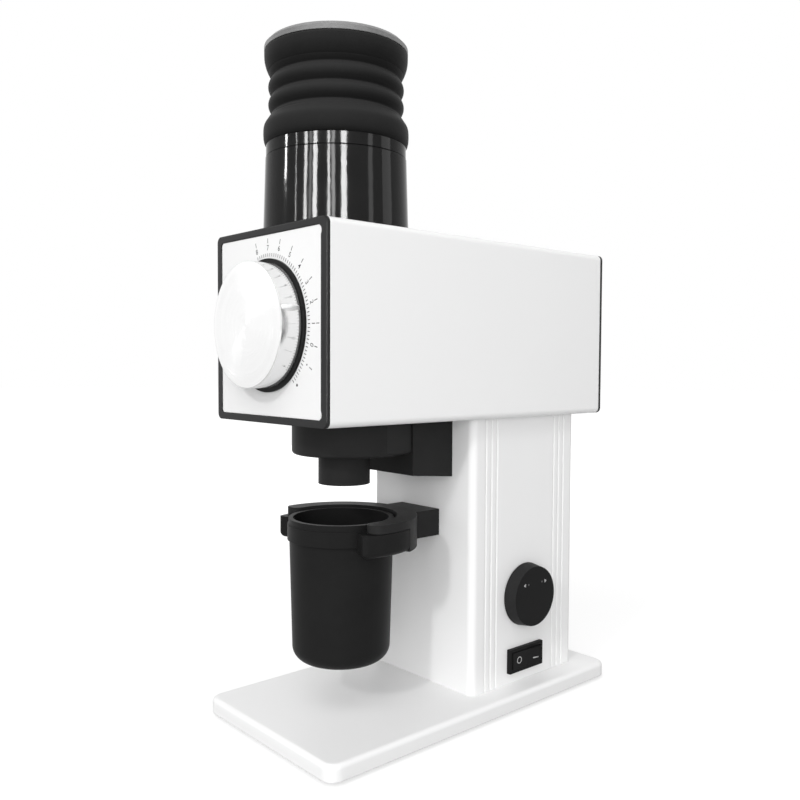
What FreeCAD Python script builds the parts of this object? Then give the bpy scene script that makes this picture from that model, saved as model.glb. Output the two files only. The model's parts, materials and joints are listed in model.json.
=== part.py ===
import FreeCAD, Part
import math
import os
import re
import Sketcher

# Burr coffee grinder: a head with a horizontal motor and flat burrs on a column and a base plate.
# The front faces -Y, +X is to the right seen from the front, and Z = 0 is where the feet stand.
# Places along the depth are counted from the face, the front of the bezel.

# Driving sizes in millimetres, and angles in degrees
SIZES = {
    # Clearances
    "running_gap": 0.05,
    "fit_gap": 0.1,
    "loose_gap": 0.3,
    "margin": 1.0,
    # Screws
    "screw_radius": 1.5,
    "screw_head": 2.4,
    "screw_head_height": 2.0,
    "bolt_radius": 2.5,
    "bolt_head": 4.5,
    "bolt_head_height": 4.0,
    # Feet
    "foot_height": 2.0,
    "foot_radius": 8.0,
    "foot_inset": 14.0,
    "foot_stem_radius": 3.0,
    "foot_stem_length": 4.0,
    # Base plate
    "base_width": 110.5,
    "base_depth": 210.0,
    "base_thickness": 8.1,
    "base_corner": 7.0,
    "base_edge": 2.5,
    "base_overhang": 3.2,
    # Column
    "column_step": 6.85,
    "column_depth": 87.8,
    "column_height": 150.9,
    "column_front": 102.2,
    "column_wall": 3.0,
    "column_corner": 4.0,
    "column_boss": 5.0,
    "column_boss_inset": 8.2,
    "column_screw_length": 18.0,
    "groove_width": 1.4,
    "groove_depth": 0.9,
    "groove_pitch": 4.4,
    "front_groove_inset": 10.4,
    "rear_groove_inset": 10.3,
    # Head housing and its covers
    "head_width": 96.0,
    "head_height": 95.1,
    "head_depth": 206.8,
    "head_wall": 3.0,
    "head_corner": 3.2,
    "head_boss": 4.0,
    "head_boss_inset": 6.2,
    "head_screw_length": 14.0,
    "cable_way_width": 46.0,
    "cable_way_depth": 40.0,
    "cover_thickness": 2.0,
    "plug_depth": 4.0,
    "cover_screw_length": 10.0,
    "bezel_side_border": 4.5,
    "bezel_top_border": 3.6,
    "bezel_ledge": 3.0,
    "plate_thickness": 1.6,
    "plate_recess": 0.2,
    "plate_corner": 1.8,
    "vent_width": 44.0,
    "vent_height": 3.0,
    "vent_pitch": 8.0,
    # Dial
    "dial_proud": 12.4,
    "dial_radius": 30.4,
    "dial_back_radius": 30.3,
    "dial_chamfer": 0.4,
    "dial_gap": 0.4,
    "dial_hollow_radius": 24.0,
    "dial_hollow_depth": 6.0,
    "dial_hub_radius": 9.0,
    "dial_web": 2.0,
    "dial_ring_radius": 32.4,
    "dial_ring_height": 1.2,
    "spindle_radius": 4.0,
    "spindle_end": 36.0,
    "spindle_collar_radius": 6.5,
    "spindle_collar_length": 2.0,
    "bush_radius": 8.0,
    "bush_flange_radius": 11.0,
    "bush_flange_length": 1.6,
    "bush_length": 6.0,
    # Burr housing
    "front_plate_thickness": 4.0,
    "housing_gap": 2.55,
    "housing_wall": 6.0,
    "housing_length": 51.0,
    "housing_foot_width": 52.0,
    "front_screw_length": 10.0,
    "outlet_radius": 12.5,
    # Burrs and their carriers
    "burr_rim": 9.0,
    "burr_bore": 15.0,
    "burr_thickness": 8.0,
    "burr_gap": 0.3,
    "burr_teeth": 16,
    "tooth_width": 1.6,
    "tooth_depth": 1.5,
    "burr_screw_length": 7.0,
    "carrier_web": 4.0,
    "carrier_rim_short": 0.6,
    "carrier_hub_radius": 7.5,
    "carrier_hub_length": 15.0,
    "carrier_arm_width": 4.0,
    "carrier_edge_gap": 0.4,
    "guide_pin_radius": 2.0,
    "guide_pin_inset": 4.7,
    "guide_pin_end": 44.0,
    "rotor_plate_gap": 1.5,
    "rotor_plate_thickness": 4.2,
    "rotor_boss_radius": 12.0,
    "rotor_boss_length": 4.0,
    "rotor_hub_radius": 10.0,
    "rotor_hub_length": 3.0,
    "wiper_width": 5.0,
    "wiper_height": 6.0,
    "wiper_reach": 7.2,
    "carrier_bolt_head": 9.0,
    "carrier_bolt_radius": 3.0,
    "carrier_bolt_length": 12.0,
    # Motor
    "shaft_radius": 6.0,
    "shaft_tail_radius": 5.0,
    "shaft_tail_length": 24.0,
    "motor_plate_thickness": 12.0,
    "front_bearing_radius": 13.0,
    "front_bearing_width": 8.0,
    "rear_bearing_radius": 11.0,
    "rear_bearing_width": 6.0,
    "can_step": 6.0,
    "can_wall": 2.5,
    "can_length": 92.0,
    "motor_cover_thickness": 8.0,
    "tie_bolt_radius": 2.0,
    "tie_bolt_grip": 10.0,
    "stator_length": 64.0,
    "stator_depth": 12.0,
    "stator_slots": 9,
    "stator_slot_width": 5.0,
    "stator_slot_depth": 6.0,
    "rotor_gap": 0.6,
    "fan_step": 6.0,
    "fan_hub_radius": 10.0,
    "fan_length": 10.0,
    "fan_disc": 1.6,
    "fan_blade": 1.5,
    "fan_blades": 9,
    "fan_standoff": 5.0,
    # Grounds chute and the bracket behind it
    "spout_y": 47.2,
    "spout_radius": 13.6,
    "spout_bore": 10.8,
    "spout_drop": 33.4,
    "chute_radius": 30.4,
    "chute_y": 50.8,
    "chute_back_width": 49.0,
    "chute_drop": 17.9,
    "chute_edge": 2.0,
    "chute_mouth": 17.0,
    "chute_screw_x": 21.0,
    "chute_rear_screw_y": 56.0,
    "chute_front_screw_y": 28.0,
    "chute_screw_grip": 7.0,
    "chute_screw_depth": 4.0,
    "bracket_width": 51.0,
    "bracket_front": 73.0,
    "bracket_front_drop": 29.5,
    "bracket_rear_drop": 32.2,
    "bracket_wall": 2.5,
    "bracket_back_wall": 6.0,
    "bracket_screw_x": 15.0,
    "bracket_screw_drop": 18.0,
    "wall_screw_length": 7.5,
    # Cup holder
    "cup_y": 45.4,
    "holder_bottom": 84.9,
    "holder_height": 16.2,
    "holder_radius": 39.9,
    "holder_bore": 29.5,
    "holder_arm": 4.2,
    "holder_reach": 9.2,
    "holder_tip_round": 4.6,
    "holder_block_width": 31.0,
    "holder_block_drop": 1.6,
    "holder_screw_x": 9.0,
    "magnet_radius": 3.5,
    "magnet_height": 2.5,
    # Dosing cup
    "cup_bottom": 24.6,
    "cup_top": 99.8,
    "cup_foot_radius": 25.6,
    "cup_body_radius": 27.3,
    "cup_collar_radius": 28.3,
    "cup_collar_bottom": 88.6,
    "cup_collar_top": 96.7,
    "cup_rim_radius": 27.7,
    "cup_wall": 2.4,
    "cup_floor": 3.0,
    "cup_round": 8.0,
    "ear_radius": 39.9,
    "ear_angle": 22.0,
    "ear_gap_angle": 0.8,
    "ear_height": 11.6,
    "ear_round": 2.4,
    "ear_foot_round": 3.0,
    # Hopper, bellows and lid
    "hopper_y": 41.8,
    "hopper_foot_radius": 37.3,
    "hopper_top_radius": 36.1,
    "hopper_line": 38.1,
    "hopper_band_radius": 35.8,
    "hopper_neck_radius": 34.4,
    "hopper_neck_height": 6.6,
    "hopper_wall": 2.4,
    "hopper_floor": 4.0,
    "spigot_radius": 29.0,
    "spigot_wall": 2.0,
    "spigot_depth": 3.0,
    "funnel_height": 24.0,
    "funnel_wall": 1.6,
    "feed_y": 27.6,
    "feed_radius": 9.5,
    "collar_bottom": 44.4,
    "collar_radius": 37.2,
    "collar_height": 8.5,
    "collar_lip": 1.2,
    "collar_lip_height": 2.6,
    "collar_shoulder": 1.2,
    "collar_shoulder_rise": 3.2,
    "groove_rise": 7.7,
    "fold_pitch": 8.8,
    "groove_radius": 33.1,
    "bulge_radius": 34.4,
    "fold_flat": 1.2,
    "crown_rise": 4.2,
    "crown_radius": 36.6,
    "crown_height": 9.0,
    "bellows_wall": 2.2,
    "seat_radius": 32.6,
    "seat_bore": 27.0,
    "seat_height": 7.0,
    "lid_height": 4.1,
    "lid_chamfer": 1.8,
    "lid_plug_height": 5.0,
    "lid_wall": 2.0,
    # Speed knob on the side of the column
    "knob_y": 43.4,
    "knob_z": 49.3,
    "knob_radius": 17.9,
    "knob_face_radius": 16.8,
    "knob_height": 8.0,
    "knob_standoff": 0.6,
    "knob_hollow_radius": 10.0,
    "knob_hollow_depth": 3.4,
    "knob_shaft_radius": 3.0,
    "knob_shaft_depth": 5.0,
    "pot_radius": 8.5,
    "pot_length": 9.0,
    "pot_bush_radius": 4.5,
    "pot_nut_radius": 7.0,
    "pot_nut_height": 2.4,
    # Rocker switch
    "switch_y": 43.2,
    "switch_z": 12.95,
    "switch_length": 28.4,
    "switch_height": 13.6,
    "switch_proud": 2.4,
    "switch_flange": 1.0,
    "switch_depth": 18.0,
    "switch_border": 1.8,
    "switch_cavity": 10.0,
    "rocker_pivot": 2.5,
    "rocker_length": 22.6,
    "rocker_rise": 6.6,
    "rocker_dip": 1.2,
    "rocker_back": 4.0,
    "rocker_back_length": 16.0,
    "rocker_tilt": 6.0,
    "rocker_pin_radius": 1.2,
    "rocker_pin_length": 0.5,
    # Control board
    "board_width": 52.0,
    "board_height": 80.0,
    "board_thickness": 1.6,
    "board_y": 43.0,
    "board_z": 46.0,
    "standoff_length": 6.0,
    "standoff_radius": 2.5,
    "standoff_inset": 4.0,
    # Power inlet at the back of the column
    "inlet_z": 24.0,
    "inlet_width": 27.6,
    "inlet_height": 20.0,
    "inlet_depth": 16.0,
    "inlet_flange": 2.2,
    "inlet_wall": 1.5,
    "inlet_floor": 3.0,
    "pin_width": 2.0,
    "pin_height": 4.0,
    "pin_spread": 7.0,
    "pin_drop": 2.0,
    "pin_short": 3.0,
}

# Places worked out from the sizes
PLACES = {
    "face": "(dial_proud - head_depth) / 2",
    "head_back": "face + head_depth",
    "base_front": "face - base_overhang",
    "base_top": "foot_height + base_thickness",
    "head_bottom": "base_top + column_height",
    "head_floor": "head_bottom + head_wall",
    "head_top": "head_bottom + head_height",
    "shaft_z": "head_bottom + head_height / 2",
    "column_y": "face + column_front",
    "column_back": "column_y + column_depth",
    "column_side": "head_width / 2 - column_step",
    "housing_radius": "min(head_width; head_height) / 2 - head_wall - housing_gap",
    "housing_bore": "housing_radius - housing_wall",
    "housing_screw_circle": "housing_radius - housing_wall / 2",
    "burr_radius": "housing_bore - burr_rim",
    "burr_screw_circle": "(burr_radius + burr_bore) / 2",
    "guide_pin_circle": "housing_bore - guide_pin_inset",
    "rotor_plate_radius": "housing_bore - rotor_plate_gap",
    "can_radius": "housing_radius - can_step",
    "stator_bore": "can_radius - stator_depth",
    "fan_radius": "can_radius - fan_step",
    "front_plate_y": "face + cover_thickness + plug_depth",
    "housing_y": "front_plate_y + front_plate_thickness",
    "motor_plate_y": "housing_y + housing_length",
    "can_y": "motor_plate_y + motor_plate_thickness",
    "motor_cover_y": "can_y + can_length",
    "motor_end": "motor_cover_y + motor_cover_thickness",
    "burr_face": "face + spout_y - burr_gap / 2",
    "rotor_face": "face + spout_y + burr_gap / 2",
    "rotor_plate_y": "rotor_face + burr_thickness",
    "shaft_y": "rotor_plate_y - rotor_boss_length",
    "spout_place": "face + spout_y",
    "cup_place": "face + cup_y",
    "hopper_place": "face + hopper_y",
    "neck_top": "collar_bottom + hopper_neck_height",
    "collar_top": "collar_bottom + collar_height",
    "crown_bottom": "collar_top + groove_rise + 2 * fold_pitch + crown_rise",
    "crown_top": "crown_bottom + crown_height",
    "arm_bottom": "base_top + holder_bottom + holder_height - holder_arm",
    "ear_top": "arm_bottom - loose_gap",
    "magnet_x": "(holder_bore + holder_radius) / 2",
    "knob_place": "column_y + knob_y",
    "knob_level": "base_top + knob_z",
    "switch_place": "column_y + switch_y",
    "switch_level": "base_top + switch_z",
    "pivot_x": "column_side - rocker_pivot",
    "rocker_half_height": "switch_height / 2 - switch_border - loose_gap",
    "board_x": "standoff_length + column_wall - column_side",
    "inlet_level": "base_top + inlet_z",
    "screw_hole": "screw_radius + running_gap",
    "bolt_hole": "bolt_radius + running_gap",
    "head_hole": "screw_head + fit_gap",
    "plug_half_width": "head_width / 2 - head_wall - fit_gap",
    "plug_half_height": "head_height / 2 - head_wall - fit_gap",
}

AXES = "xyz"
TURNS = {
    "x": FreeCAD.Rotation(FreeCAD.Vector(0, 1, 0), 90),
    "y": FreeCAD.Rotation(FreeCAD.Vector(1, 0, 0), -90),
    "z": FreeCAD.Rotation(),
}
TURNING_PLANES = {"x": "XY_Plane", "y": "XY_Plane", "z": "XZ_Plane"}
PADDING_PLANES = {"x": "YZ_Plane", "z": "XY_Plane"}
CORNERS = [(-1, -1), (1, -1), (-1, 1), (1, 1)]
SIDES = [-1, 1]

doc = FreeCAD.newDocument("Grinder")
sheet = doc.addObject("Spreadsheet::Sheet", "Sizes")
for row, (alias, number) in enumerate(SIZES.items(), start=1):
    sheet.set("A%d" % row, str(number))
    sheet.setAlias("A%d" % row, alias)
doc.recompute()
nodes = []


def size(alias):
    """Read a size from the sheet."""
    return float(sheet.get(alias))


def formula(text):
    """Write a formula of sizes and places in the cells of the sheet."""
    def cell(match):
        word = match.group(0)
        if word in PLACES:
            return "(" + formula(PLACES[word]) + ")"
        return "Sizes." + word if word in SIZES else word
    return re.sub(r"[a-z][a-z0-9_]*", cell, str(text))


def tie(thing, prop, text):
    """Tie a property to a formula of sizes and places."""
    thing.setExpression(prop, formula(text))


def place(thing, x="0", y="0", z="0"):
    """Tie where a thing lies."""
    for axis, text in zip(AXES, (x, y, z)):
        tie(thing, "Placement.Base." + axis, text)
    return thing


def node(label, thing):
    """Give a finished sub-part its label, which names its file."""
    thing.Label = label
    nodes.append(thing)
    return thing


def block(x, y, z):
    """Box between a low and a high formula along each axis."""
    solid = doc.addObject("Part::Box", "block")
    for side, (low, high) in zip(("Length", "Width", "Height"), (x, y, z)):
        tie(solid, side, "(%s) - (%s)" % (high, low))
    return place(solid, x[0], y[0], z[0])


def middle(width):
    """Low and high formulas of a width centred on the middle plane."""
    return "-(%s) / 2" % width, "(%s) / 2" % width


def around(centre, width):
    """Low and high formulas of a width centred on a place."""
    return "(%s) - (%s) / 2" % (centre, width), "(%s) + (%s) / 2" % (centre, width)


def rod(radius, axis, span, at):
    """Cylinder along an axis from a low to a high formula, at a place on the two other axes."""
    solid = doc.addObject("Part::Cylinder", "rod")
    solid.Placement = FreeCAD.Placement(FreeCAD.Vector(), TURNS[axis])
    tie(solid, "Radius", radius)
    tie(solid, "Height", "(%s) - (%s)" % (span[1], span[0]))
    spot = list(at)
    spot.insert(AXES.index(axis), span[0])
    return place(solid, *spot)


def taper(low_radius, high_radius, axis, span, at):
    """Cone frustum along an axis from a low to a high formula."""
    solid = doc.addObject("Part::Cone", "taper")
    solid.Placement = FreeCAD.Placement(FreeCAD.Vector(), TURNS[axis])
    tie(solid, "Radius1", low_radius)
    tie(solid, "Radius2", high_radius)
    tie(solid, "Height", "(%s) - (%s)" % (span[1], span[0]))
    spot = list(at)
    spot.insert(AXES.index(axis), span[0])
    return place(solid, *spot)


def fuse(*solids):
    """One solid of several that meet."""
    if len(solids) == 1:
        return solids[0]
    joined = doc.addObject("Part::MultiFuse", "fuse")
    joined.Shapes = list(solids)
    joined.Refine = True
    return joined


def cut(base, *tools):
    """A solid less the others."""
    remains = doc.addObject("Part::Cut", "cut")
    remains.Base = base
    remains.Tool = fuse(*tools)
    remains.Refine = True
    return remains


def common(base, tool):
    """What two solids share."""
    shared = doc.addObject("Part::Common", "common")
    shared.Base = base
    shared.Tool = tool
    return shared


def group(solids):
    """Separate solids of one node."""
    together = doc.addObject("Part::Compound", "group")
    together.Links = list(solids)
    return together


def rounded(base, radius, chosen):
    """Round the edges that a test chooses."""
    doc.recompute()
    edges = [number for number, edge in enumerate(base.Shape.Edges, start=1) if chosen(edge)]
    smooth = doc.addObject("Part::Fillet", "rounded")
    smooth.Base = base
    smooth.Edges = [(number, radius, radius) for number in edges]
    return smooth


def along(axis):
    """Test for straight edges along an axis."""
    way = FreeCAD.Vector(*(float(axis == other) for other in AXES))

    def test(edge):
        if edge.Curve.TypeId != "Part::GeomLine":
            return False
        return abs(abs(edge.tangentAt(edge.FirstParameter).dot(way)) - 1) < 1e-6
    return test


def at_level(base, top):
    """Test for edges that lie in the top or bottom plane of a solid."""
    doc.recompute()
    box = base.Shape.BoundBox
    level = box.ZMax if top else box.ZMin

    def test(edge):
        return abs(edge.BoundBox.ZMin - level) < 1e-4 and abs(edge.BoundBox.ZMax - level) < 1e-4
    return test


def at_front(base):
    """Test for upright edges at the front end of a solid."""
    doc.recompute()
    limit = base.Shape.BoundBox.YMin + size("margin")

    def test(edge):
        return along("z")(edge) and edge.BoundBox.YMax < limit
    return test


def at_foot(base):
    """Test for the round edges in the bottom plane of a solid."""
    low = at_level(base, False)

    def test(edge):
        return low(edge) and isinstance(edge.Curve, Part.Circle)
    return test


def sketch(body, plane, points):
    """Closed outline on a plane of a body, with each corner tied to a pair of formulas."""
    outline = body.newObject("Sketcher::SketchObject", "outline")
    support = next(item for item in body.Origin.OriginFeatures if item.Role == plane)
    outline.AttachmentSupport = [(support, "")]
    outline.MapMode = "FlatFace"
    count = len(points)
    turn = 2 * math.pi / count
    start = [FreeCAD.Vector(math.cos(turn * i), math.sin(turn * i), 0) for i in range(count)]
    for i in range(count):
        outline.addGeometry(Part.LineSegment(start[i], start[(i + 1) % count]), False)
    for i in range(count):
        outline.addConstraint(Sketcher.Constraint("Coincident", i, 2, (i + 1) % count, 1))
    for i, pair in enumerate(points):
        for kind, text, guess in zip(("DistanceX", "DistanceY"), pair, start[i]):
            number = outline.addConstraint(Sketcher.Constraint(kind, -1, 1, i, 1, guess))
            tie(outline, "Constraints[%d]" % number, text)
    return outline


def turned(axis, points, x="0", y="0", z="0"):
    """Body turned about an axis from an outline of radius and height formulas."""
    body = doc.addObject("PartDesign::Body", "turned")
    corners = [(height, radius) for radius, height in points] if axis == "x" else points
    outline = sketch(body, TURNING_PLANES[axis], corners)
    turn = body.newObject("PartDesign::Revolution", "turn")
    turn.Profile = outline
    turn.ReferenceAxis = (outline, ["H_Axis" if axis == "x" else "V_Axis"])
    turn.Angle = 360
    return place(body, x, y, z)


def padded(axis, span, points, at=("0", "0")):
    """Outline padded along an axis from a low to a high formula, at a place on the two other axes."""
    body = doc.addObject("PartDesign::Body", "padded")
    pad = body.newObject("PartDesign::Pad", "pad")
    pad.Profile = sketch(body, PADDING_PLANES[axis], points)
    tie(pad, "Length", "(%s) - (%s)" % (span[1], span[0]))
    spot = list(at)
    spot.insert(AXES.index(axis), span[0])
    return place(body, *spot)


def ring(axis, outer, inner, span, at):
    """Tube along an axis."""
    return cut(rod(outer, axis, span, at), rod(inner, axis, span, at))


def spread(body, feature, outline, count):
    """Repeat a feature of a body evenly about the axis square to its outline."""
    pattern = body.newObject("PartDesign::PolarPattern", "spread")
    pattern.Originals = [feature]
    pattern.Axis = (outline, ["N_Axis"])
    pattern.Angle = 360
    tie(pattern, "Occurrences", count)
    body.Tip = pattern
    return pattern


def screw(axis, seat, way, at, length, radius="screw_radius", head="screw_head", height="screw_head_height"):
    """Screw with its head against a seat and its shank along the axis, forwards or backwards."""
    head_end = "%s - %d * (%s)" % (seat, way, height)
    tip = "%s + %d * (%s)" % (seat, way, length)
    head_span = (head_end, seat) if way > 0 else (seat, head_end)
    shank_span = (seat, tip) if way > 0 else (tip, seat)
    return fuse(rod(head, axis, head_span, at), rod(radius, axis, shank_span, at))


def polar(radius, degrees):
    """Place on a circle about the motor shaft, as formulas of X and Z."""
    angle = math.radians(degrees)
    return "%s * %.6f" % (radius, math.cos(angle)), "shaft_z + %s * %.6f" % (radius, math.sin(angle))


# Base plate on four rubber feet
foot_spots = [
    ("%d * (base_width / 2 - foot_inset)" % x,
     "base_front + base_depth / 2 + %d * (base_depth / 2 - foot_inset)" % y)
    for x, y in CORNERS
]
column_boss_spots = [
    ("%d * (column_side - column_boss_inset)" % x,
     "column_y + column_depth / 2 + %d * (column_depth / 2 - column_boss_inset)" % y)
    for x, y in CORNERS
]

plate = block(middle("base_width"), ("base_front", "base_front + base_depth"), ("foot_height", "base_top"))
plate = rounded(plate, size("base_corner"), along("z"))
plate = rounded(plate, size("base_edge"), at_level(plate, True))
stem_top = "foot_height + foot_stem_length + fit_gap"
stem_holes = [rod("foot_stem_radius + running_gap", "z", ("0", stem_top), spot) for spot in foot_spots]
bolt_holes = [rod("bolt_hole", "z", ("0", "base_top + margin"), spot) for spot in column_boss_spots]
bolt_seat = "foot_height + bolt_head_height"
bolt_pockets = [rod("bolt_head + fit_gap", "z", ("0", bolt_seat), spot) for spot in column_boss_spots]
node("base_plate", cut(plate, *stem_holes, *bolt_holes, *bolt_pockets))

feet = [
    fuse(rod("foot_radius", "z", ("0", "foot_height"), spot),
         rod("foot_stem_radius", "z", ("0", "foot_height + foot_stem_length"), spot))
    for spot in foot_spots
]
node("rubber_feet", group(feet))

column_screws = [
    screw("z", bolt_seat, 1, spot, "column_screw_length",
          "bolt_radius", "bolt_head", "bolt_head_height - fit_gap")
    for spot in column_boss_spots
]
node("column_screws", group(column_screws))

# Column: an extruded box with a screw channel in each corner and grooves down both sides
column_span = ("base_top", "head_bottom")
shell = block(middle("2 * column_side"), ("column_y", "column_back"), column_span)
shell = rounded(shell, size("column_corner"), along("z"))
inside = block(
    middle("2 * (column_side - column_wall)"),
    ("column_y + column_wall", "column_back - column_wall"),
    column_span)
channels = [rod("column_boss", "z", column_span, spot) for spot in column_boss_spots]
channel_holes = [rod("bolt_hole", "z", column_span, spot) for spot in column_boss_spots]
groove_places = ["column_y + front_groove_inset + %d * groove_pitch" % i for i in range(3)]
groove_places += ["column_back - rear_groove_inset - %d * groove_pitch" % i for i in range(3)]
grooves = []
for groove_place in groove_places:
    groove_y = around(groove_place, "groove_width")
    grooves.append(block(("column_side - groove_depth", "column_side + margin"), groove_y, column_span))
    grooves.append(block(("-column_side - margin", "groove_depth - column_side"), groove_y, column_span))

wall_x = ("column_side - column_wall - margin", "column_side + margin")
knob_hole = rod("pot_bush_radius + fit_gap", "x", wall_x, ("knob_place", "knob_level"))
switch_hole = block(
    wall_x,
    around("switch_place", "switch_length - 2 * switch_flange + 2 * fit_gap"),
    around("switch_level", "switch_height - 2 * switch_flange + 2 * fit_gap"))
inlet_hole = block(
    middle("inlet_width + 2 * fit_gap"),
    ("column_back - column_wall - margin", "column_back + margin"),
    around("inlet_level", "inlet_height + 2 * fit_gap"))
holder_screw_level = "base_top + holder_bottom + holder_height / 2"
wall_screw_spots = [("%d * holder_screw_x" % side, holder_screw_level) for side in SIDES]
wall_screw_spots += [("%d * bracket_screw_x" % side, "head_bottom - bracket_screw_drop") for side in SIDES]
front_wall = ("column_y - margin", "column_y + column_wall + margin")
wall_holes = [rod("screw_hole", "y", front_wall, spot) for spot in wall_screw_spots]
shell = fuse(cut(shell, inside), *channels)
node("column_shell", cut(shell, *channel_holes, *grooves, knob_hole, switch_hole, inlet_hole, *wall_holes))

# Screws through the front wall of the column that hold the cup holder and the chute bracket
wall_screws = [
    screw("y", "column_y + column_wall", -1, spot, "column_wall + wall_screw_length")
    for spot in wall_screw_spots
]
node("front_wall_screws", group(wall_screws))

# Head housing: an extruded box with screw channels, open at the front and the back
head_span = ("face + cover_thickness", "head_back - cover_thickness")
head = block(middle("head_width"), head_span, ("head_bottom", "head_top"))
head = rounded(head, size("head_corner"), along("y"))
head_inside = block(
    middle("head_width - 2 * head_wall"), head_span, ("head_floor", "head_top - head_wall"))
head_boss_spots = [
    ("%d * (head_width / 2 - head_boss_inset)" % x, "shaft_z + %d * (head_height / 2 - head_boss_inset)" % z)
    for x, z in CORNERS
]
boss_span = ("front_plate_y", "head_back - cover_thickness - plug_depth")
head_bosses = [rod("head_boss", "y", boss_span, spot) for spot in head_boss_spots]
head_boss_holes = [rod("screw_hole", "y", boss_span, spot) for spot in head_boss_spots]
hopper_spot = ("0", "hopper_place")
roof_span = ("head_top - head_wall - margin", "head_top + margin")
hopper_hole = rod("spigot_radius + fit_gap", "z", roof_span, hopper_spot)
floor_span = ("head_bottom - margin", "head_floor + margin")
outlet_hole = rod("outlet_radius", "z", floor_span, ("0", "spout_place"))
cable_way = block(
    middle("cable_way_width"), around("column_y + column_depth / 2", "cable_way_depth"), floor_span)
head_screw_holes = [rod("bolt_hole", "z", floor_span, spot) for spot in column_boss_spots]
chute_screw_spots = [("%d * chute_screw_x" % side, "face + chute_rear_screw_y") for side in SIDES]
chute_screw_spots.append(("0", "face + chute_front_screw_y"))
chute_floor_holes = [rod("screw_hole", "z", floor_span, spot) for spot in chute_screw_spots]
head = fuse(cut(head, head_inside), *head_bosses)
head_cuts = [hopper_hole, outlet_hole, cable_way] + head_boss_holes + head_screw_holes + chute_floor_holes
node("head_housing", cut(head, *head_cuts))

head_screws = [
    screw("z", "head_floor", -1, spot, "head_screw_length", "bolt_radius", "bolt_head")
    for spot in column_boss_spots
]
node("head_screws", group(head_screws))


def cover(front, back, plug_front, plug_back):
    """Cover plate of the head with the plug that fits inside the housing."""
    plate_solid = block(middle("head_width"), (front, back), ("head_bottom", "head_top"))
    plate_solid = rounded(plate_solid, size("head_corner"), along("y"))
    plug = block(
        middle("2 * plug_half_width"), (plug_front, plug_back), around("shaft_z", "2 * plug_half_height"))
    return fuse(plate_solid, plug)


# Front bezel, with a ledge that the face plate lies on
face_width = "head_width - 2 * bezel_side_border"
face_height = "head_height - 2 * bezel_top_border"
ledge_y = "face + plate_recess + plate_thickness"
bezel = cover("face", "face + cover_thickness", "face + cover_thickness", "front_plate_y")
plate_window = block(
    middle("%s + 2 * fit_gap" % face_width),
    ("face - margin", ledge_y),
    around("shaft_z", "%s + 2 * fit_gap" % face_height))
plate_window = rounded(plate_window, size("plate_corner") + size("fit_gap"), along("y"))
ledge_window = block(
    middle("%s - 2 * bezel_ledge" % face_width),
    ("face", "front_plate_y"),
    around("shaft_z", "%s - 2 * bezel_ledge" % face_height))
ledge_pads = [rod("head_boss + margin", "y", ("face", "front_plate_y"), spot) for spot in head_boss_spots]
bezel_holes = [rod("screw_hole", "y", ("face", "front_plate_y"), spot) for spot in head_boss_spots]
bezel_seat = "%s + screw_head_height" % ledge_y
bezel_pockets = [rod("head_hole", "y", ("face", bezel_seat), spot) for spot in head_boss_spots]
bezel_cuts = [cut(ledge_window, *ledge_pads), plate_window] + bezel_holes + bezel_pockets
node("front_bezel", cut(bezel, *bezel_cuts))
bezel_screws = [
    screw("y", bezel_seat, 1, spot, "cover_screw_length", height="screw_head_height - fit_gap")
    for spot in head_boss_spots
]
node("bezel_screws", group(bezel_screws))

face_sheet = block(middle(face_width), ("face + plate_recess", ledge_y), around("shaft_z", face_height))
face_sheet = rounded(face_sheet, size("plate_corner"), along("y"))
spindle_hole = rod("spindle_radius + loose_gap", "y", ("face - margin", ledge_y), ("0", "shaft_z"))
node("face_plate", cut(face_sheet, spindle_hole))

# Rear cover with cooling slots
rear = cover("head_back - cover_thickness", "head_back",
             "head_back - cover_thickness - plug_depth", "head_back - cover_thickness")
rear_hollow = block(
    middle("2 * plug_half_width - 2 * bezel_ledge"),
    ("head_back - cover_thickness - plug_depth", "head_back - cover_thickness"),
    around("shaft_z", "2 * plug_half_height - 2 * bezel_ledge"))
rear_span = ("head_back - cover_thickness - plug_depth", "head_back")
rear_pads = [rod("head_boss + margin", "y", rear_span, spot) for spot in head_boss_spots]
rear_holes = [rod("screw_hole", "y", rear_span, spot) for spot in head_boss_spots]
rear_seat = "head_back - screw_head_height"
rear_pockets = [rod("head_hole", "y", (rear_seat, "head_back"), spot) for spot in head_boss_spots]
vents = [
    block(middle("vent_width"), rear_span, around("shaft_z + %d * vent_pitch" % i, "vent_height"))
    for i in range(-3, 4)
]
node("rear_cap", cut(rear, cut(rear_hollow, *rear_pads), *rear_holes, *rear_pockets, *vents))
rear_screws = [
    screw("y", rear_seat, -1, spot, "cover_screw_length", height="screw_head_height - fit_gap")
    for spot in head_boss_spots
]
node("rear_cap_screws", group(rear_screws))

# Dial: a black ring on the face plate, and a turned knob on a threaded spindle
ring_front = "face + plate_recess - dial_ring_height"
node("dial_ring", ring("y", "dial_ring_radius", "spindle_radius + loose_gap",
                       (ring_front, "face + plate_recess"), ("0", "shaft_z")))

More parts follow.
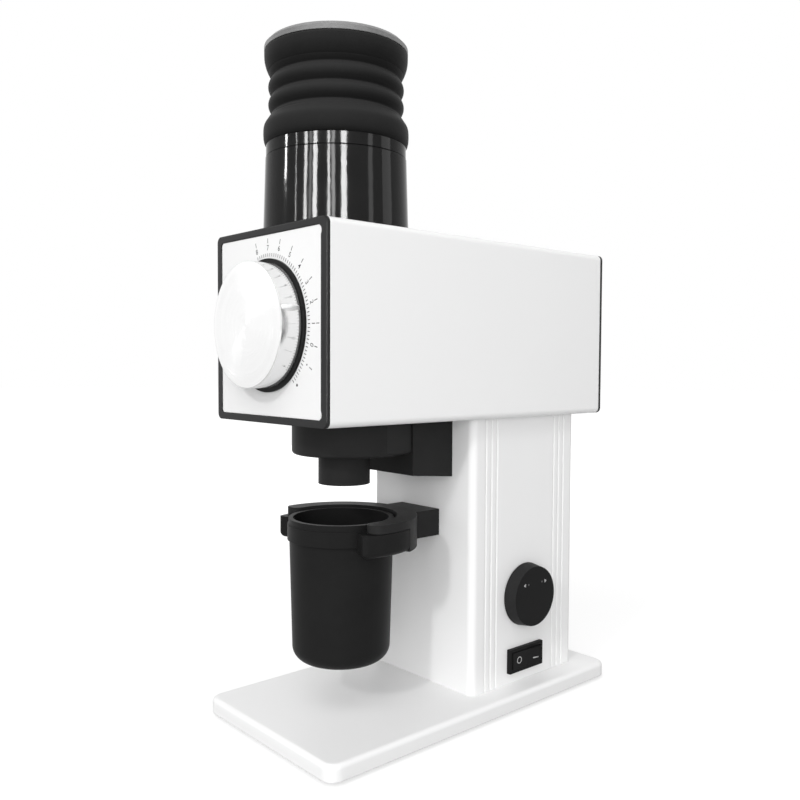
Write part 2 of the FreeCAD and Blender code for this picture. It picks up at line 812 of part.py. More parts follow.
dial_front = "-dial_proud"
dial_back = "plate_recess - dial_ring_height - dial_gap"
dial_floor = "%s - dial_hollow_depth" % dial_back
spindle_bore = "spindle_radius + fit_gap / 2"
dial_outline = [
    ("0", dial_front),
    ("dial_radius - dial_chamfer", dial_front),
    ("dial_radius", "%s + dial_chamfer" % dial_front),
    ("dial_back_radius", dial_back),
    ("dial_hollow_radius", dial_back),
    ("dial_hollow_radius", dial_floor),
    ("dial_hub_radius", dial_floor),
    ("dial_hub_radius", dial_back),
    (spindle_bore, dial_back),
    (spindle_bore, "%s + dial_web" % dial_front),
    ("0", "%s + dial_web" % dial_front),
]
knob_blank = turned("y", dial_outline, y="face", z="shaft_z")
set_screw_y = "face + %s - dial_hollow_depth / 2" % dial_back
set_screw_spot = ("0", set_screw_y)
set_screw_way = rod("screw_hole", "z", ("shaft_z - dial_radius", "shaft_z - spindle_radius"), set_screw_spot)
node("dial_knob", cut(knob_blank, set_screw_way))
node("dial_set_screw", rod(
    "screw_radius", "z", ("shaft_z - dial_hub_radius", "shaft_z - spindle_radius"), set_screw_spot))

bush_front = "cover_thickness + plug_depth - bush_flange_length"
bush_back = "cover_thickness + plug_depth + bush_length"
collar_front = "%s + loose_gap" % bush_back
spindle_outline = [
    ("0", "%s + dial_web + fit_gap" % dial_front),
    ("spindle_radius", "%s + dial_web + fit_gap" % dial_front),
    ("spindle_radius", collar_front),
    ("spindle_collar_radius", collar_front),
    ("spindle_collar_radius", "%s + spindle_collar_length" % collar_front),
    ("spindle_radius", "%s + spindle_collar_length" % collar_front),
    ("spindle_radius", "spindle_end"),
    ("0", "spindle_end"),
]
node("dial_spindle", turned("y", spindle_outline, y="face", z="shaft_z"))

bush_bore = "spindle_radius + running_gap"
bush_outline = [
    (bush_bore, bush_front),
    ("bush_flange_radius", bush_front),
    ("bush_flange_radius", "cover_thickness + plug_depth"),
    ("bush_radius", "cover_thickness + plug_depth"),
    ("bush_radius", bush_back),
    (bush_bore, bush_back),
]
node("spindle_bush", turned("y", bush_outline, y="face", z="shaft_z"))

# Front plate of the burr housing, with the pins that guide the sliding carrier
shaft_spot = ("0", "shaft_z")
front_plate_span = ("front_plate_y", "housing_y")
front_screw_spots = [polar("housing_screw_circle", degrees) for degrees in (60, 180, 300)]
guide_spots = [polar("guide_pin_circle", degrees) for degrees in (30, 150, 270)]
front_seat = "front_plate_y + screw_head_height"
front_plate = cut(
    rod("housing_radius", "y", front_plate_span, shaft_spot),
    rod("bush_radius + running_gap", "y", front_plate_span, shaft_spot),
    *[rod("screw_hole", "y", front_plate_span, spot) for spot in front_screw_spots],
    *[rod("head_hole", "y", ("front_plate_y", front_seat), spot) for spot in front_screw_spots],
    *[rod("guide_pin_radius + running_gap / 2", "y", front_plate_span, spot) for spot in guide_spots])
node("front_plate", front_plate)
front_screws = [
    screw("y", front_seat, 1, spot, "front_screw_length", height="screw_head_height - fit_gap")
    for spot in front_screw_spots
]
node("front_plate_screws", group(front_screws))
node("guide_pins", group(
    rod("guide_pin_radius", "y", ("front_plate_y", "face + guide_pin_end"), spot) for spot in guide_spots))

# Burr housing, standing on the floor of the head
housing_span = ("housing_y", "motor_plate_y")
housing_foot = block(middle("housing_foot_width"), housing_span, ("head_floor", "shaft_z - housing_bore"))
tie_spots = [polar("housing_screw_circle", degrees) for degrees in (45, 135, 225, 315)]
front_screw_span = ("housing_y", "housing_y + front_screw_length")
tie_bolt_span = ("motor_plate_y - tie_bolt_grip - fit_gap", "motor_plate_y")
chute_grip_span = ("head_bottom", "head_floor + chute_screw_grip")
burr_housing = cut(
    fuse(rod("housing_radius", "y", housing_span, shaft_spot), housing_foot),
    rod("housing_bore", "y", housing_span, shaft_spot),
    rod("feed_radius + funnel_wall + fit_gap", "z", ("shaft_z", "head_top"), ("0", "face + feed_y")),
    rod("outlet_radius", "z", ("head_bottom", "shaft_z"), ("0", "spout_place")),
    *[rod("screw_hole", "y", front_screw_span, spot) for spot in front_screw_spots],
    *[rod("tie_bolt_radius + running_gap", "y", tie_bolt_span, spot) for spot in tie_spots],
    *[rod("screw_hole", "z", chute_grip_span, spot) for spot in chute_screw_spots])
node("burr_housing", burr_housing)

# Sliding carrier with the fixed burr, moved along the spindle by its thread
carrier_front = "burr_face - burr_thickness - carrier_web"
carrier_back = "burr_face - carrier_rim_short"
carrier_span = (carrier_front, carrier_back)
carrier_edge = "housing_bore - carrier_edge_gap"
web_span = (carrier_front, "burr_face - burr_thickness")
burr_screw_spots = [polar("burr_screw_circle", degrees) for degrees in (90, 210, 330)]
carrier_rim = cut(
    rod(carrier_edge, "y", carrier_span, shaft_spot),
    rod("burr_radius + fit_gap", "y", ("burr_face - burr_thickness", carrier_back), shaft_spot),
    rod("burr_bore", "y", web_span, shaft_spot),
    *[rod("guide_pin_radius + fit_gap", "y", carrier_span, spot) for spot in guide_spots],
    *[rod("screw_hole", "y", web_span, spot) for spot in burr_screw_spots])
hub_span = ("%s - carrier_hub_length" % web_span[1], web_span[1])
hub = rod("carrier_hub_radius", "y", hub_span, shaft_spot)
arm_length = "2 * burr_bore + 2 * margin"
upright_arms = block(middle("carrier_arm_width"), web_span, around("shaft_z", arm_length))
side_arms = block(middle(arm_length), web_span, around("shaft_z", "carrier_arm_width"))
nut_bore = rod("spindle_radius + running_gap", "y",
               ("%s - carrier_hub_length" % carrier_front, "burr_face"), shaft_spot)
node("burr_carrier", cut(fuse(carrier_rim, hub, upright_arms, side_arms), nut_bore))


def burr(face_y, way):
    """Flat burr ring with radial teeth cut into its working face, its back on the way given."""
    body = doc.addObject("PartDesign::Body", "burr")
    back = "%d * burr_thickness" % way
    outline = sketch(body, "XY_Plane", [
        ("burr_bore", "0"), ("burr_radius", "0"), ("burr_radius", back), ("burr_bore", back)])
    turn = body.newObject("PartDesign::Revolution", "turn")
    turn.Profile = outline
    turn.ReferenceAxis = (outline, ["V_Axis"])
    turn.Angle = 360
    tooth = sketch(body, "XZ_Plane", [
        ("burr_bore - margin", "-tooth_width / 2"), ("burr_radius + margin", "-tooth_width / 2"),
        ("burr_radius + margin", "tooth_width / 2"), ("burr_bore - margin", "tooth_width / 2")])
    pocket = body.newObject("PartDesign::Pocket", "tooth")
    pocket.Profile = tooth
    pocket.Reversed = way < 0
    tie(pocket, "Length", "tooth_depth")
    spread(body, pocket, tooth, "burr_teeth")
    return place(body, "0", face_y, "shaft_z")


def burr_with_holes(face_y, way):
    """Burr with its screw holes, counted so that the screws stay clear of the teeth's bottom."""
    ends = [face_y, "%s + %d * burr_thickness" % (face_y, way)]
    span = tuple(ends if way > 0 else reversed(ends))
    return cut(burr(face_y, way), *[rod("screw_hole", "y", span, spot) for spot in burr_screw_spots])


node("fixed_burr", burr_with_holes("burr_face", -1))
fixed_burr_screws = [
    screw("y", carrier_front, 1, spot, "carrier_web + burr_screw_length - tooth_depth")
    for spot in burr_screw_spots
]
node("fixed_burr_screws", group(fixed_burr_screws))

# Rotating carrier with two wipers, its burr and its bolt
rotor_back = "rotor_plate_thickness + rotor_hub_length"
shaft_fit = "shaft_radius + running_gap / 2"
rotor_outline = [
    (shaft_fit, "-rotor_boss_length"),
    ("rotor_boss_radius", "-rotor_boss_length"),
    ("rotor_boss_radius", "0"),
    ("rotor_plate_radius", "0"),
    ("rotor_plate_radius", "rotor_plate_thickness"),
    ("rotor_hub_radius", "rotor_plate_thickness"),
    ("rotor_hub_radius", rotor_back),
    (shaft_fit, rotor_back),
]
rotor_plate = turned("y", rotor_outline, y="rotor_plate_y", z="shaft_z")
wiper_y = ("rotor_plate_y - wiper_reach", "rotor_plate_y + rotor_plate_thickness")
wipers = [
    block(around("%d * (rotor_plate_radius - wiper_height / 2)" % side, "wiper_height"), wiper_y,
          around("shaft_z", "wiper_width"))
    for side in SIDES
]
wiper_limit = rod("rotor_plate_radius", "y", wiper_y, shaft_spot)
rotor_span = ("rotor_plate_y", "rotor_plate_y + rotor_plate_thickness")
rotor_screw_holes = [rod("screw_hole", "y", rotor_span, spot) for spot in burr_screw_spots]
node("rotating_carrier", cut(fuse(rotor_plate, common(fuse(*wipers), wiper_limit)), *rotor_screw_holes))
node("rotating_burr", burr_with_holes("rotor_face", 1))
rotating_burr_screws = [
    screw("y", "rotor_plate_y + rotor_plate_thickness", -1, spot,
          "rotor_plate_thickness + burr_screw_length - tooth_depth", height="screw_head_height / 2")
    for spot in burr_screw_spots
]
node("rotating_burr_screws", group(rotating_burr_screws))
node("carrier_bolt", screw("y", "shaft_y", 1, shaft_spot, "carrier_bolt_length",
                           "carrier_bolt_radius", "carrier_bolt_head", "screw_head_height"))

# Motor: shaft, bearings, end plates, can, stator, rotor and fan
tail_start = "motor_cover_y - shaft_y"
bolt_bore = "carrier_bolt_radius + running_gap / 2"
shaft_outline = [
    (bolt_bore, "0"),
    ("shaft_radius", "0"),
    ("shaft_radius", tail_start),
    ("shaft_tail_radius", tail_start),
    ("shaft_tail_radius", "%s + shaft_tail_length" % tail_start),
    ("0", "%s + shaft_tail_length" % tail_start),
    ("0", "carrier_bolt_length + fit_gap"),
    (bolt_bore, "carrier_bolt_length + fit_gap"),
]
node("drive_shaft", turned("y", shaft_outline, y="shaft_y", z="shaft_z"))

motor_plate_span = ("motor_plate_y", "can_y")
front_bearing_span = ("can_y - front_bearing_width", "can_y")
motor_plate = cut(
    rod("housing_radius", "y", motor_plate_span, shaft_spot),
    rod("rotor_hub_radius + loose_gap", "y", motor_plate_span, shaft_spot),
    rod("front_bearing_radius + running_gap / 2", "y", front_bearing_span, shaft_spot),
    *[rod("tie_bolt_radius + running_gap", "y", motor_plate_span, spot) for spot in tie_spots])
node("motor_plate", motor_plate)
node("front_bearing", ring(
    "y", "front_bearing_radius", "shaft_radius + running_gap", front_bearing_span, shaft_spot))

can_span = ("can_y", "motor_cover_y")
can_bore = "can_radius - can_wall"
node("motor_can", ring("y", "can_radius", can_bore, can_span, shaft_spot))

stator_y = "(can_y + motor_cover_y - stator_length) / 2"
stator = doc.addObject("PartDesign::Body", "stator")
stator_edge = "%s - running_gap" % can_bore
stator_outline = sketch(stator, "XY_Plane", [
    ("stator_bore", "0"), (stator_edge, "0"),
    (stator_edge, "stator_length"), ("stator_bore", "stator_length")])
stator_turn = stator.newObject("PartDesign::Revolution", "turn")
stator_turn.Profile = stator_outline
stator_turn.ReferenceAxis = (stator_outline, ["V_Axis"])
stator_turn.Angle = 360
slot_outline = sketch(stator, "XZ_Plane", [
    ("stator_bore - margin", "-stator_slot_width / 2"),
    ("stator_bore + stator_slot_depth", "-stator_slot_width / 2"),
    ("stator_bore + stator_slot_depth", "stator_slot_width / 2"),
    ("stator_bore - margin", "stator_slot_width / 2")])
slot = stator.newObject("PartDesign::Pocket", "slot")
slot.Profile = slot_outline
tie(slot, "Length", "stator_length")
spread(stator, slot, slot_outline, "stator_slots")
node("stator_core", place(stator, "0", stator_y, "shaft_z"))
node("rotor_magnet", ring("y", "stator_bore - rotor_gap", shaft_fit,
                          (stator_y, "%s + stator_length" % stator_y), shaft_spot))

motor_cover_span = ("motor_cover_y", "motor_end")
rear_bearing_span = ("motor_cover_y", "motor_cover_y + rear_bearing_width")
cover_foot = block(middle("housing_foot_width"), motor_cover_span, ("head_floor", "shaft_z - housing_bore"))
motor_cover = cut(
    fuse(rod("housing_radius", "y", motor_cover_span, shaft_spot), cover_foot),
    rod("shaft_tail_radius + loose_gap", "y", motor_cover_span, shaft_spot),
    rod("rear_bearing_radius + running_gap / 2", "y", rear_bearing_span, shaft_spot),
    *[rod("tie_bolt_radius + running_gap", "y", motor_cover_span, spot) for spot in tie_spots])
node("motor_cover", motor_cover)
node("rear_bearing", ring(
    "y", "rear_bearing_radius", "shaft_tail_radius + running_gap", rear_bearing_span, shaft_spot))
tie_bolt_length = "motor_end - motor_plate_y + tie_bolt_grip"
tie_bolts = [
    screw("y", "motor_end", -1, spot, tie_bolt_length, "tie_bolt_radius") for spot in tie_spots
]
node("tie_bolts", group(tie_bolts))

fan = doc.addObject("PartDesign::Body", "fan")
fan_bore = "shaft_tail_radius + running_gap / 2"
fan_outline = sketch(fan, "XY_Plane", [
    (fan_bore, "0"), ("fan_radius", "0"), ("fan_radius", "fan_disc"), ("fan_hub_radius", "fan_disc"),
    ("fan_hub_radius", "fan_length"), (fan_bore, "fan_length")])
fan_turn = fan.newObject("PartDesign::Revolution", "turn")
fan_turn.Profile = fan_outline
fan_turn.ReferenceAxis = (fan_outline, ["V_Axis"])
fan_turn.Angle = 360
blade_outline = sketch(fan, "XZ_Plane", [
    ("fan_hub_radius - margin", "-fan_blade / 2"), ("fan_radius", "-fan_blade / 2"),
    ("fan_radius", "fan_blade / 2"), ("fan_hub_radius - margin", "fan_blade / 2")])
blade = fan.newObject("PartDesign::Pad", "blade")
blade.Profile = blade_outline
blade.Reversed = True
tie(blade, "Length", "fan_length")
spread(fan, blade, blade_outline, "fan_blades")
node("cooling_fan", place(fan, "0", "motor_end + fan_standoff", "shaft_z"))

# Grounds chute under the head, and the hollow bracket that joins it to the column
spout_spot = ("0", "spout_place")
chute_span = ("head_bottom - chute_drop", "head_bottom")
chute_middle = "face + chute_y"
chute_back = "face + bracket_front"
bowl_back = padded("z", chute_span, [
    ("-chute_radius", chute_middle),
    ("chute_radius", chute_middle),
    ("chute_back_width / 2", chute_back),
    ("-chute_back_width / 2", chute_back)])
bowl_front = common(
    rod("chute_radius", "z", chute_span, ("0", chute_middle)),
    block(middle("2 * chute_radius"), ("%s - chute_radius" % chute_middle, chute_middle), chute_span))
bowl = fuse(bowl_front, bowl_back)
bowl = rounded(bowl, size("chute_edge"), at_level(bowl, False))
spout_span = ("head_bottom - spout_drop", "head_bottom - chute_drop + chute_edge")
spout = rod("spout_radius", "z", spout_span, spout_spot)
chute_seat = "head_bottom - chute_drop + chute_screw_depth"
chute = cut(
    fuse(bowl, spout),
    rod("spout_bore", "z", ("head_bottom - spout_drop", "head_bottom"), spout_spot),
    taper("spout_bore", "chute_mouth", "z", chute_span, spout_spot),
    *[rod("screw_hole", "z", chute_span, spot) for spot in chute_screw_spots],
    *[rod("head_hole", "z", ("head_bottom - chute_drop", chute_seat), spot) for spot in chute_screw_spots])
node("grounds_chute", chute)
chute_screw_length = "chute_drop - chute_screw_depth + head_wall + chute_screw_grip - fit_gap"
chute_screws = [screw("z", chute_seat, 1, spot, chute_screw_length) for spot in chute_screw_spots]
node("chute_screws", group(chute_screws))

bracket = padded("x", middle("bracket_width"), [
    ("face + bracket_front", "head_bottom - bracket_front_drop"),
    ("column_y", "head_bottom - bracket_rear_drop"),
    ("column_y", "head_bottom"),
    ("face + bracket_front", "head_bottom")])
bracket_inside = block(
    middle("bracket_width - 2 * bracket_wall"),
    ("face + bracket_front + bracket_wall", "column_y - bracket_back_wall"),
    ("head_bottom - bracket_front_drop + bracket_wall", "head_bottom"))
wall_grip_span = ("column_y - wall_screw_length", "column_y")
bracket_holes = [rod("screw_hole", "y", wall_grip_span, spot) for spot in wall_screw_spots[2:]]
node("chute_bracket", cut(bracket, bracket_inside, *bracket_holes))

# Cup holder: a fork, open to the front, whose arms lie over the ears of the cup
cup_spot = ("0", "cup_place")
holder_span = ("base_top + holder_bottom", "base_top + holder_bottom + holder_height")
arm_span = ("arm_bottom", holder_span[1])
reach = ("cup_place - 2 * holder_radius", "cup_place")
holder_block = block(
    middle("holder_block_width"),
    ("cup_place", "column_y"),
    (holder_span[0], "%s - holder_block_drop" % holder_span[1]))
fork_width = "(holder_radius + margin)"
step_rise = "%s * tan(ear_angle + ear_gap_angle)" % fork_width
ear_room = padded("z", (holder_span[0], "arm_bottom"), [
    ("-" + fork_width, step_rise),
    ("0", "0"),
    (fork_width, step_rise),
    (fork_width, "-" + fork_width),
    ("-" + fork_width, "-" + fork_width)], cup_spot)
fork = cut(
    fuse(rod("holder_radius", "z", holder_span, cup_spot), holder_block),
    rod("holder_bore", "z", holder_span, cup_spot),
    block(middle("2 * holder_bore"), reach, holder_span),
    block(middle("2 * " + fork_width), (reach[0], "cup_place - holder_reach"), holder_span),
    ear_room)
fork = rounded(fork, size("holder_tip_round"), at_front(fork))
magnet_spots = [("%d * magnet_x" % side, "cup_place") for side in SIDES]
holder_pockets = [
    rod("magnet_radius + fit_gap", "z", ("arm_bottom", "arm_bottom + magnet_height + fit_gap"), spot)
    for spot in magnet_spots
]
holder_holes = [rod("screw_hole", "y", wall_grip_span, spot) for spot in wall_screw_spots[:2]]
node("cup_holder", cut(fork, *holder_pockets, *holder_holes))
node("holder_magnets", group(
    rod("magnet_radius", "z", ("arm_bottom + fit_gap", "arm_bottom + fit_gap + magnet_height"), spot)
    for spot in magnet_spots))

# Dosing cup with a collar and two ears
cup_outline = [
    ("0", "cup_bottom"),
    ("cup_foot_radius", "cup_bottom"),
    ("cup_body_radius", "cup_collar_bottom"),
    ("cup_collar_radius", "cup_collar_bottom"),
    ("cup_collar_radius", "cup_collar_top"),
    ("cup_rim_radius", "cup_collar_top"),
    ("cup_rim_radius", "cup_top"),
    ("0", "cup_top"),
]
cup_hollow_outline = [
    ("0", "cup_bottom + cup_floor"),
    ("cup_foot_radius - cup_wall", "cup_bottom + cup_floor"),
    ("cup_rim_radius - cup_wall", "cup_top"),
    ("cup_rim_radius - cup_wall", "cup_top + margin"),
    ("0", "cup_top + margin"),
]
cup_solid = turned("z", cup_outline, y="cup_place", z="base_top")
cup_solid = rounded(cup_solid, size("cup_round"), at_level(cup_solid, False))
ear_span = ("ear_top - ear_height", "ear_top")
ear_rise = "2 * ear_radius * tan(ear_angle)"
ear_wedges = [
    padded("z", ear_span, [
        ("0", "0"),
        ("%d * 2 * ear_radius" % side, "-" + ear_rise),
        ("%d * 2 * ear_radius" % side, ear_rise)], cup_spot)
    for side in SIDES
]
ears = [common(rod("ear_radius", "z", ear_span, cup_spot), wedge) for wedge in ear_wedges]
ears = [rounded(ear, size("ear_round"), at_front(ear)) for ear in ears]
ears = [rounded(ear, size("ear_foot_round"), at_foot(ear)) for ear in ears]
cup_hollow = turned("z", cup_hollow_outline, y="cup_place", z="base_top")
cup_hollow = rounded(cup_hollow, size("cup_round") - size("cup_wall"), at_level(cup_hollow, False))
cup_pockets = [
    rod("magnet_radius + fit_gap", "z", ("ear_top - magnet_height - fit_gap", "ear_top"), spot)
    for spot in magnet_spots
]
node("dosing_cup", cut(fuse(cup_solid, *ears), cup_hollow, *cup_pockets))
node("cup_magnets", group(
    rod("magnet_radius", "z", ("ear_top - magnet_height - fit_gap", "ear_top - fit_gap"), spot)
    for spot in magnet_spots))

# Hopper tube with a funnel that leads the beans in front of the burrs
neck_bore = "hopper_neck_radius - hopper_wall"
hopper_outline = [
    ("hopper_foot_radius", "0"),
    ("hopper_top_radius", "hopper_line"),
    ("hopper_band_radius", "hopper_line"),
    ("hopper_band_radius", "collar_bottom"),
    ("hopper_neck_radius", "collar_bottom"),
    ("hopper_neck_radius", "neck_top"),
    (neck_bore, "neck_top"),
    (neck_bore, "hopper_floor"),
    ("spigot_radius - spigot_wall", "hopper_floor"),
    ("spigot_radius - spigot_wall", "-spigot_depth"),
    ("spigot_radius", "-spigot_depth"),
    ("spigot_radius", "0"),
]
node("hopper_tube", turned("z", hopper_outline, y="hopper_place", z="head_top"))


def funnel_part(mouth_radius, feed_radius, low, high):
    """Slanting cone from the feed hole up to the wall of the hopper, with a straight tail."""
    rings = []
    for radius, y, z in ((feed_radius, "face + feed_y", low), (mouth_radius, "hopper_place", high)):
        circle = doc.addObject("Part::Circle", "ring")
        tie(circle, "Radius", radius)
        rings.append(place(circle, "0", y, z))
    cone = doc.addObject("Part::Loft", "cone")
    cone.Sections = rings
    cone.Solid = True
    cone.Ruled = True
    tail = rod(feed_radius, "z", ("shaft_z + housing_bore", low), ("0", "face + feed_y"))
    return fuse(cone, tail)


funnel_low = "head_top"
funnel_high = "head_top + hopper_floor + funnel_height"
funnel_outer = funnel_part("%s - fit_gap" % neck_bore, "feed_radius + funnel_wall", funnel_low, funnel_high)
funnel_inner = funnel_part("%s - fit_gap - funnel_wall" % neck_bore, "feed_radius", funnel_low, funnel_high)
node("bean_funnel", cut(funnel_outer, funnel_inner))

# Silicone bellows: a collar on the hopper's neck, three folds and a crown
groove_levels = ["collar_top + groove_rise + %d * fold_pitch" % i for i in range(3)]
outside = [
    ("collar_radius - collar_lip", "collar_bottom"),
    ("collar_radius", "collar_bottom + collar_lip_height"),
    ("collar_radius", "collar_top"),
    ("collar_radius - collar_shoulder", "collar_top + collar_shoulder_rise"),
]
neck_fit = "hopper_neck_radius + loose_gap"
inner = [(neck_fit, "collar_bottom"), (neck_fit, "neck_top + loose_gap")]
for number, level in enumerate(groove_levels):
    if number:
        bulge = "%s - fold_pitch / 2" % level
        outside += [("bulge_radius", "%s - fold_flat" % bulge), ("bulge_radius", "%s + fold_flat" % bulge)]
        inner += [("bulge_radius - bellows_wall", "%s - fold_flat" % bulge),
                  ("bulge_radius - bellows_wall", "%s + fold_flat" % bulge)]
    outside += [("groove_radius", "%s - fold_flat" % level), ("groove_radius", "%s + fold_flat" % level)]
    inner += [("groove_radius - bellows_wall", "%s - fold_flat" % level),
              ("groove_radius - bellows_wall", "%s + fold_flat" % level)]
outside += [("crown_radius", "crown_bottom"), ("crown_radius", "crown_top")]
seat_edge = "seat_radius + running_gap"
seat_bottom = "crown_top - seat_height"
inner += [("seat_bore", seat_bottom), (seat_edge, seat_bottom), (seat_edge, "crown_top")]
node("silicone_bellows", turned("z", outside + inner[::-1], y="hopper_place", z="head_top"))
node("lid_seat", ring(
    "z", "seat_radius", "seat_bore", ("head_top + " + seat_bottom, "head_top + crown_top"), hopper_spot))

# Lid with a plug that fits the seat
plug_radius = "seat_bore - loose_gap"
lid_outline = [
    ("0", "crown_top + lid_height"),
    ("crown_radius - lid_chamfer", "crown_top + lid_height"),
    ("crown_radius", "crown_top + lid_height - lid_chamfer"),
    ("crown_radius", "crown_top"),
    (plug_radius, "crown_top"),
    (plug_radius, "crown_top - lid_plug_height"),
    ("%s - lid_wall" % plug_radius, "crown_top - lid_plug_height"),
    ("%s - lid_wall" % plug_radius, "crown_top + lid_height - lid_wall"),
    ("0", "crown_top + lid_height - lid_wall"),
]
node("hopper_lid", turned("z", lid_outline, y="hopper_place", z="head_top"))

# Speed knob on the shaft of a potentiometer in the side of the column
knob_back = "knob_standoff"
knob_outline = [
    ("0", "knob_height"),
    ("knob_face_radius", "knob_height"),
    ("knob_radius", knob_back),
    ("knob_hollow_radius", knob_back),
    ("knob_hollow_radius", "%s + knob_hollow_depth" % knob_back),
    ("knob_shaft_radius + running_gap", "%s + knob_hollow_depth" % knob_back),
    ("knob_shaft_radius + running_gap", "knob_shaft_depth + fit_gap"),
    ("0", "knob_shaft_depth + fit_gap"),
]
node("speed_knob", turned("x", knob_outline, "column_side", "knob_place", "knob_level"))
knob_spot = ("knob_place", "knob_level")
pot_face = "column_side - column_wall"
shaft_end = "%s - pot_length / 2" % pot_face
node("knob_shaft", rod("knob_shaft_radius", "x", (shaft_end, "column_side + knob_shaft_depth"), knob_spot))
nut_top = "column_side + pot_nut_height"
pot = cut(
    fuse(
        rod("pot_radius", "x", ("%s - pot_length" % pot_face, pot_face), knob_spot),
        rod("pot_bush_radius", "x", (pot_face, nut_top), knob_spot),
        rod("pot_nut_radius", "x", ("column_side", nut_top), knob_spot)),
    rod("knob_shaft_radius + running_gap", "x", (shaft_end + " - loose_gap", nut_top), knob_spot))
node("potentiometer", pot)

# Rocker switch: a frame set in the column, and a rocker on two short pins
switch_middle = ("pivot_x", "switch_place")
frame_body_length = "switch_length - 2 * switch_flange"
frame_body_height = "switch_height - 2 * switch_flange"
switch_frame = cut(
    fuse(
        block(("column_side", "column_side + switch_proud"),
              around("switch_place", "switch_length"), around("switch_level", "switch_height")),
        block(("column_side - switch_depth", "column_side"),
              around("switch_place", frame_body_length), around("switch_level", frame_body_height))),
    block(("column_side - switch_cavity", "column_side + switch_proud"),
          around("switch_place", "switch_length - 2 * switch_border"),
          around("switch_level", "switch_height - 2 * switch_border")),
    rod("rocker_pin_radius + running_gap", "z",
        around("switch_level", "2 * (rocker_half_height + rocker_pin_length + fit_gap)"), switch_middle))
node("switch_frame", switch_frame)

rocker = padded("z", around("switch_level", "2 * rocker_half_height"), [
    ("rocker_rise", "-rocker_length / 2"),
    ("rocker_rise - rocker_dip", "0"),
    ("rocker_rise", "rocker_length / 2"),
    ("-rocker_pin_radius", "rocker_length / 2"),
    ("-rocker_back", "rocker_back_length / 2"),
    ("-rocker_back", "-rocker_back_length / 2"),
    ("-rocker_pin_radius", "-rocker_length / 2")], switch_middle)
tie(rocker, "Placement.Rotation.Angle", "-rocker_tilt")
rocker_pins = rod("rocker_pin_radius", "z",
                  around("switch_level", "2 * (rocker_half_height + rocker_pin_length)"), switch_middle)
node("switch_rocker", fuse(rocker, rocker_pins))

# Speed control board on four standoffs inside the column
board_y = around("column_y + board_y", "board_width")
board_z = ("base_top + board_z", "base_top + board_z + board_height")
node("control_board", block(("board_x", "board_x + board_thickness"), board_y, board_z))
standoff_spots = [
    ("column_y + board_y + %d * (board_width / 2 - standoff_inset)" % y,
     "base_top + board_z + board_height / 2 + %d * (board_height / 2 - standoff_inset)" % z)
    for y, z in CORNERS
]
node("board_standoffs", group(
    rod("standoff_radius", "x", ("board_x - standoff_length", "board_x"), spot) for spot in standoff_spots))

# Power inlet in the back of the column, with three blades
inlet_mouth = "column_back + inlet_flange"
inlet_bottom = "column_back - inlet_depth + inlet_floor"
inlet = cut(
    fuse(
        block(middle("inlet_width + 2 * inlet_flange"), ("column_back", inlet_mouth),
              around("inlet_level", "inlet_height + 2 * inlet_flange")),
        block(middle("inlet_width"), ("column_back - inlet_depth", "column_back"),
              around("inlet_level", "inlet_height"))),
    block(middle("inlet_width - 2 * inlet_wall"), (inlet_bottom, inlet_mouth),
          around("inlet_level", "inlet_height - 2 * inlet_wall")))
node("power_inlet", inlet)
pin_y = (inlet_bottom, "%s - pin_short" % inlet_mouth)
inlet_pins = [
    block(around(x, "pin_width"), pin_y, around("inlet_level + " + z, "pin_height"))
    for x, z in (("-pin_spread", "-pin_drop"), ("0", "pin_drop"), ("pin_spread", "-pin_drop"))
]
node("inlet_pins", group(inlet_pins))

doc.recompute()
for item in doc.Objects:
    if "Invalid" in item.State or "Error" in item.State:
        raise RuntimeError("%s could not be built" % item.Label)
for item in nodes:
    if item.Shape.isNull() or not item.Shape.isValid():
        raise RuntimeError("%s has no valid shape" % item.Label)

os.makedirs("parts", exist_ok=True)
for item in nodes:
    item.Shape.exportStep("parts/%s.step" % item.Label)
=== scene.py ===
"""Looks of a burr coffee grinder: finishes for its solids, and the small pieces that go on them."""

import json
import math

import bmesh
import bpy
from bpy.props import FloatProperty, FloatVectorProperty, IntProperty, PointerProperty
from bpy.types import Operator, Panel, PropertyGroup
from mathutils import Matrix, Vector


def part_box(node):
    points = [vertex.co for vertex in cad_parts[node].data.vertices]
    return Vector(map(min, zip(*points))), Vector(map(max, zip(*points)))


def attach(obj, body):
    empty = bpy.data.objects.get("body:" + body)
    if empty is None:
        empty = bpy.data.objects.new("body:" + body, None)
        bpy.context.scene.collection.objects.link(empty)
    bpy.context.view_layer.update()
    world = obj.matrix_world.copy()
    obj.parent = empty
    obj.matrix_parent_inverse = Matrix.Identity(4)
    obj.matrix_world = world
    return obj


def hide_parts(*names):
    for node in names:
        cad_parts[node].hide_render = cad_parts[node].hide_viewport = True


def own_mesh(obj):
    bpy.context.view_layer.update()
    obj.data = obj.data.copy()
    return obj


bl_info = {
    "name": "Burr coffee grinder",
    "version": (1, 0, 0),
    "blender": (4, 5, 0),
    "location": "View3D > Sidebar > Grinder",
    "description": "Finishes and small pieces of a burr coffee grinder",
    "category": "Object",
}

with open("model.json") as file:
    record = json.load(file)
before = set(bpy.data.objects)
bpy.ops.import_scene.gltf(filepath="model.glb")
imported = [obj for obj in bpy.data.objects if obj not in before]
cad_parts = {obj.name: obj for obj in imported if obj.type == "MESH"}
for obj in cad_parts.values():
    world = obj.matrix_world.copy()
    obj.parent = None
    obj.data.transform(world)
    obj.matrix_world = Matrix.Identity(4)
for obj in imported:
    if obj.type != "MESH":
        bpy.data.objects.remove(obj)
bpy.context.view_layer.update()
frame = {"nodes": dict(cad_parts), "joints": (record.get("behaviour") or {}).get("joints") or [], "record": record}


def middle(node):
    """Middle of a node's box."""
    low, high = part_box(node)
    return (low + high) / 2


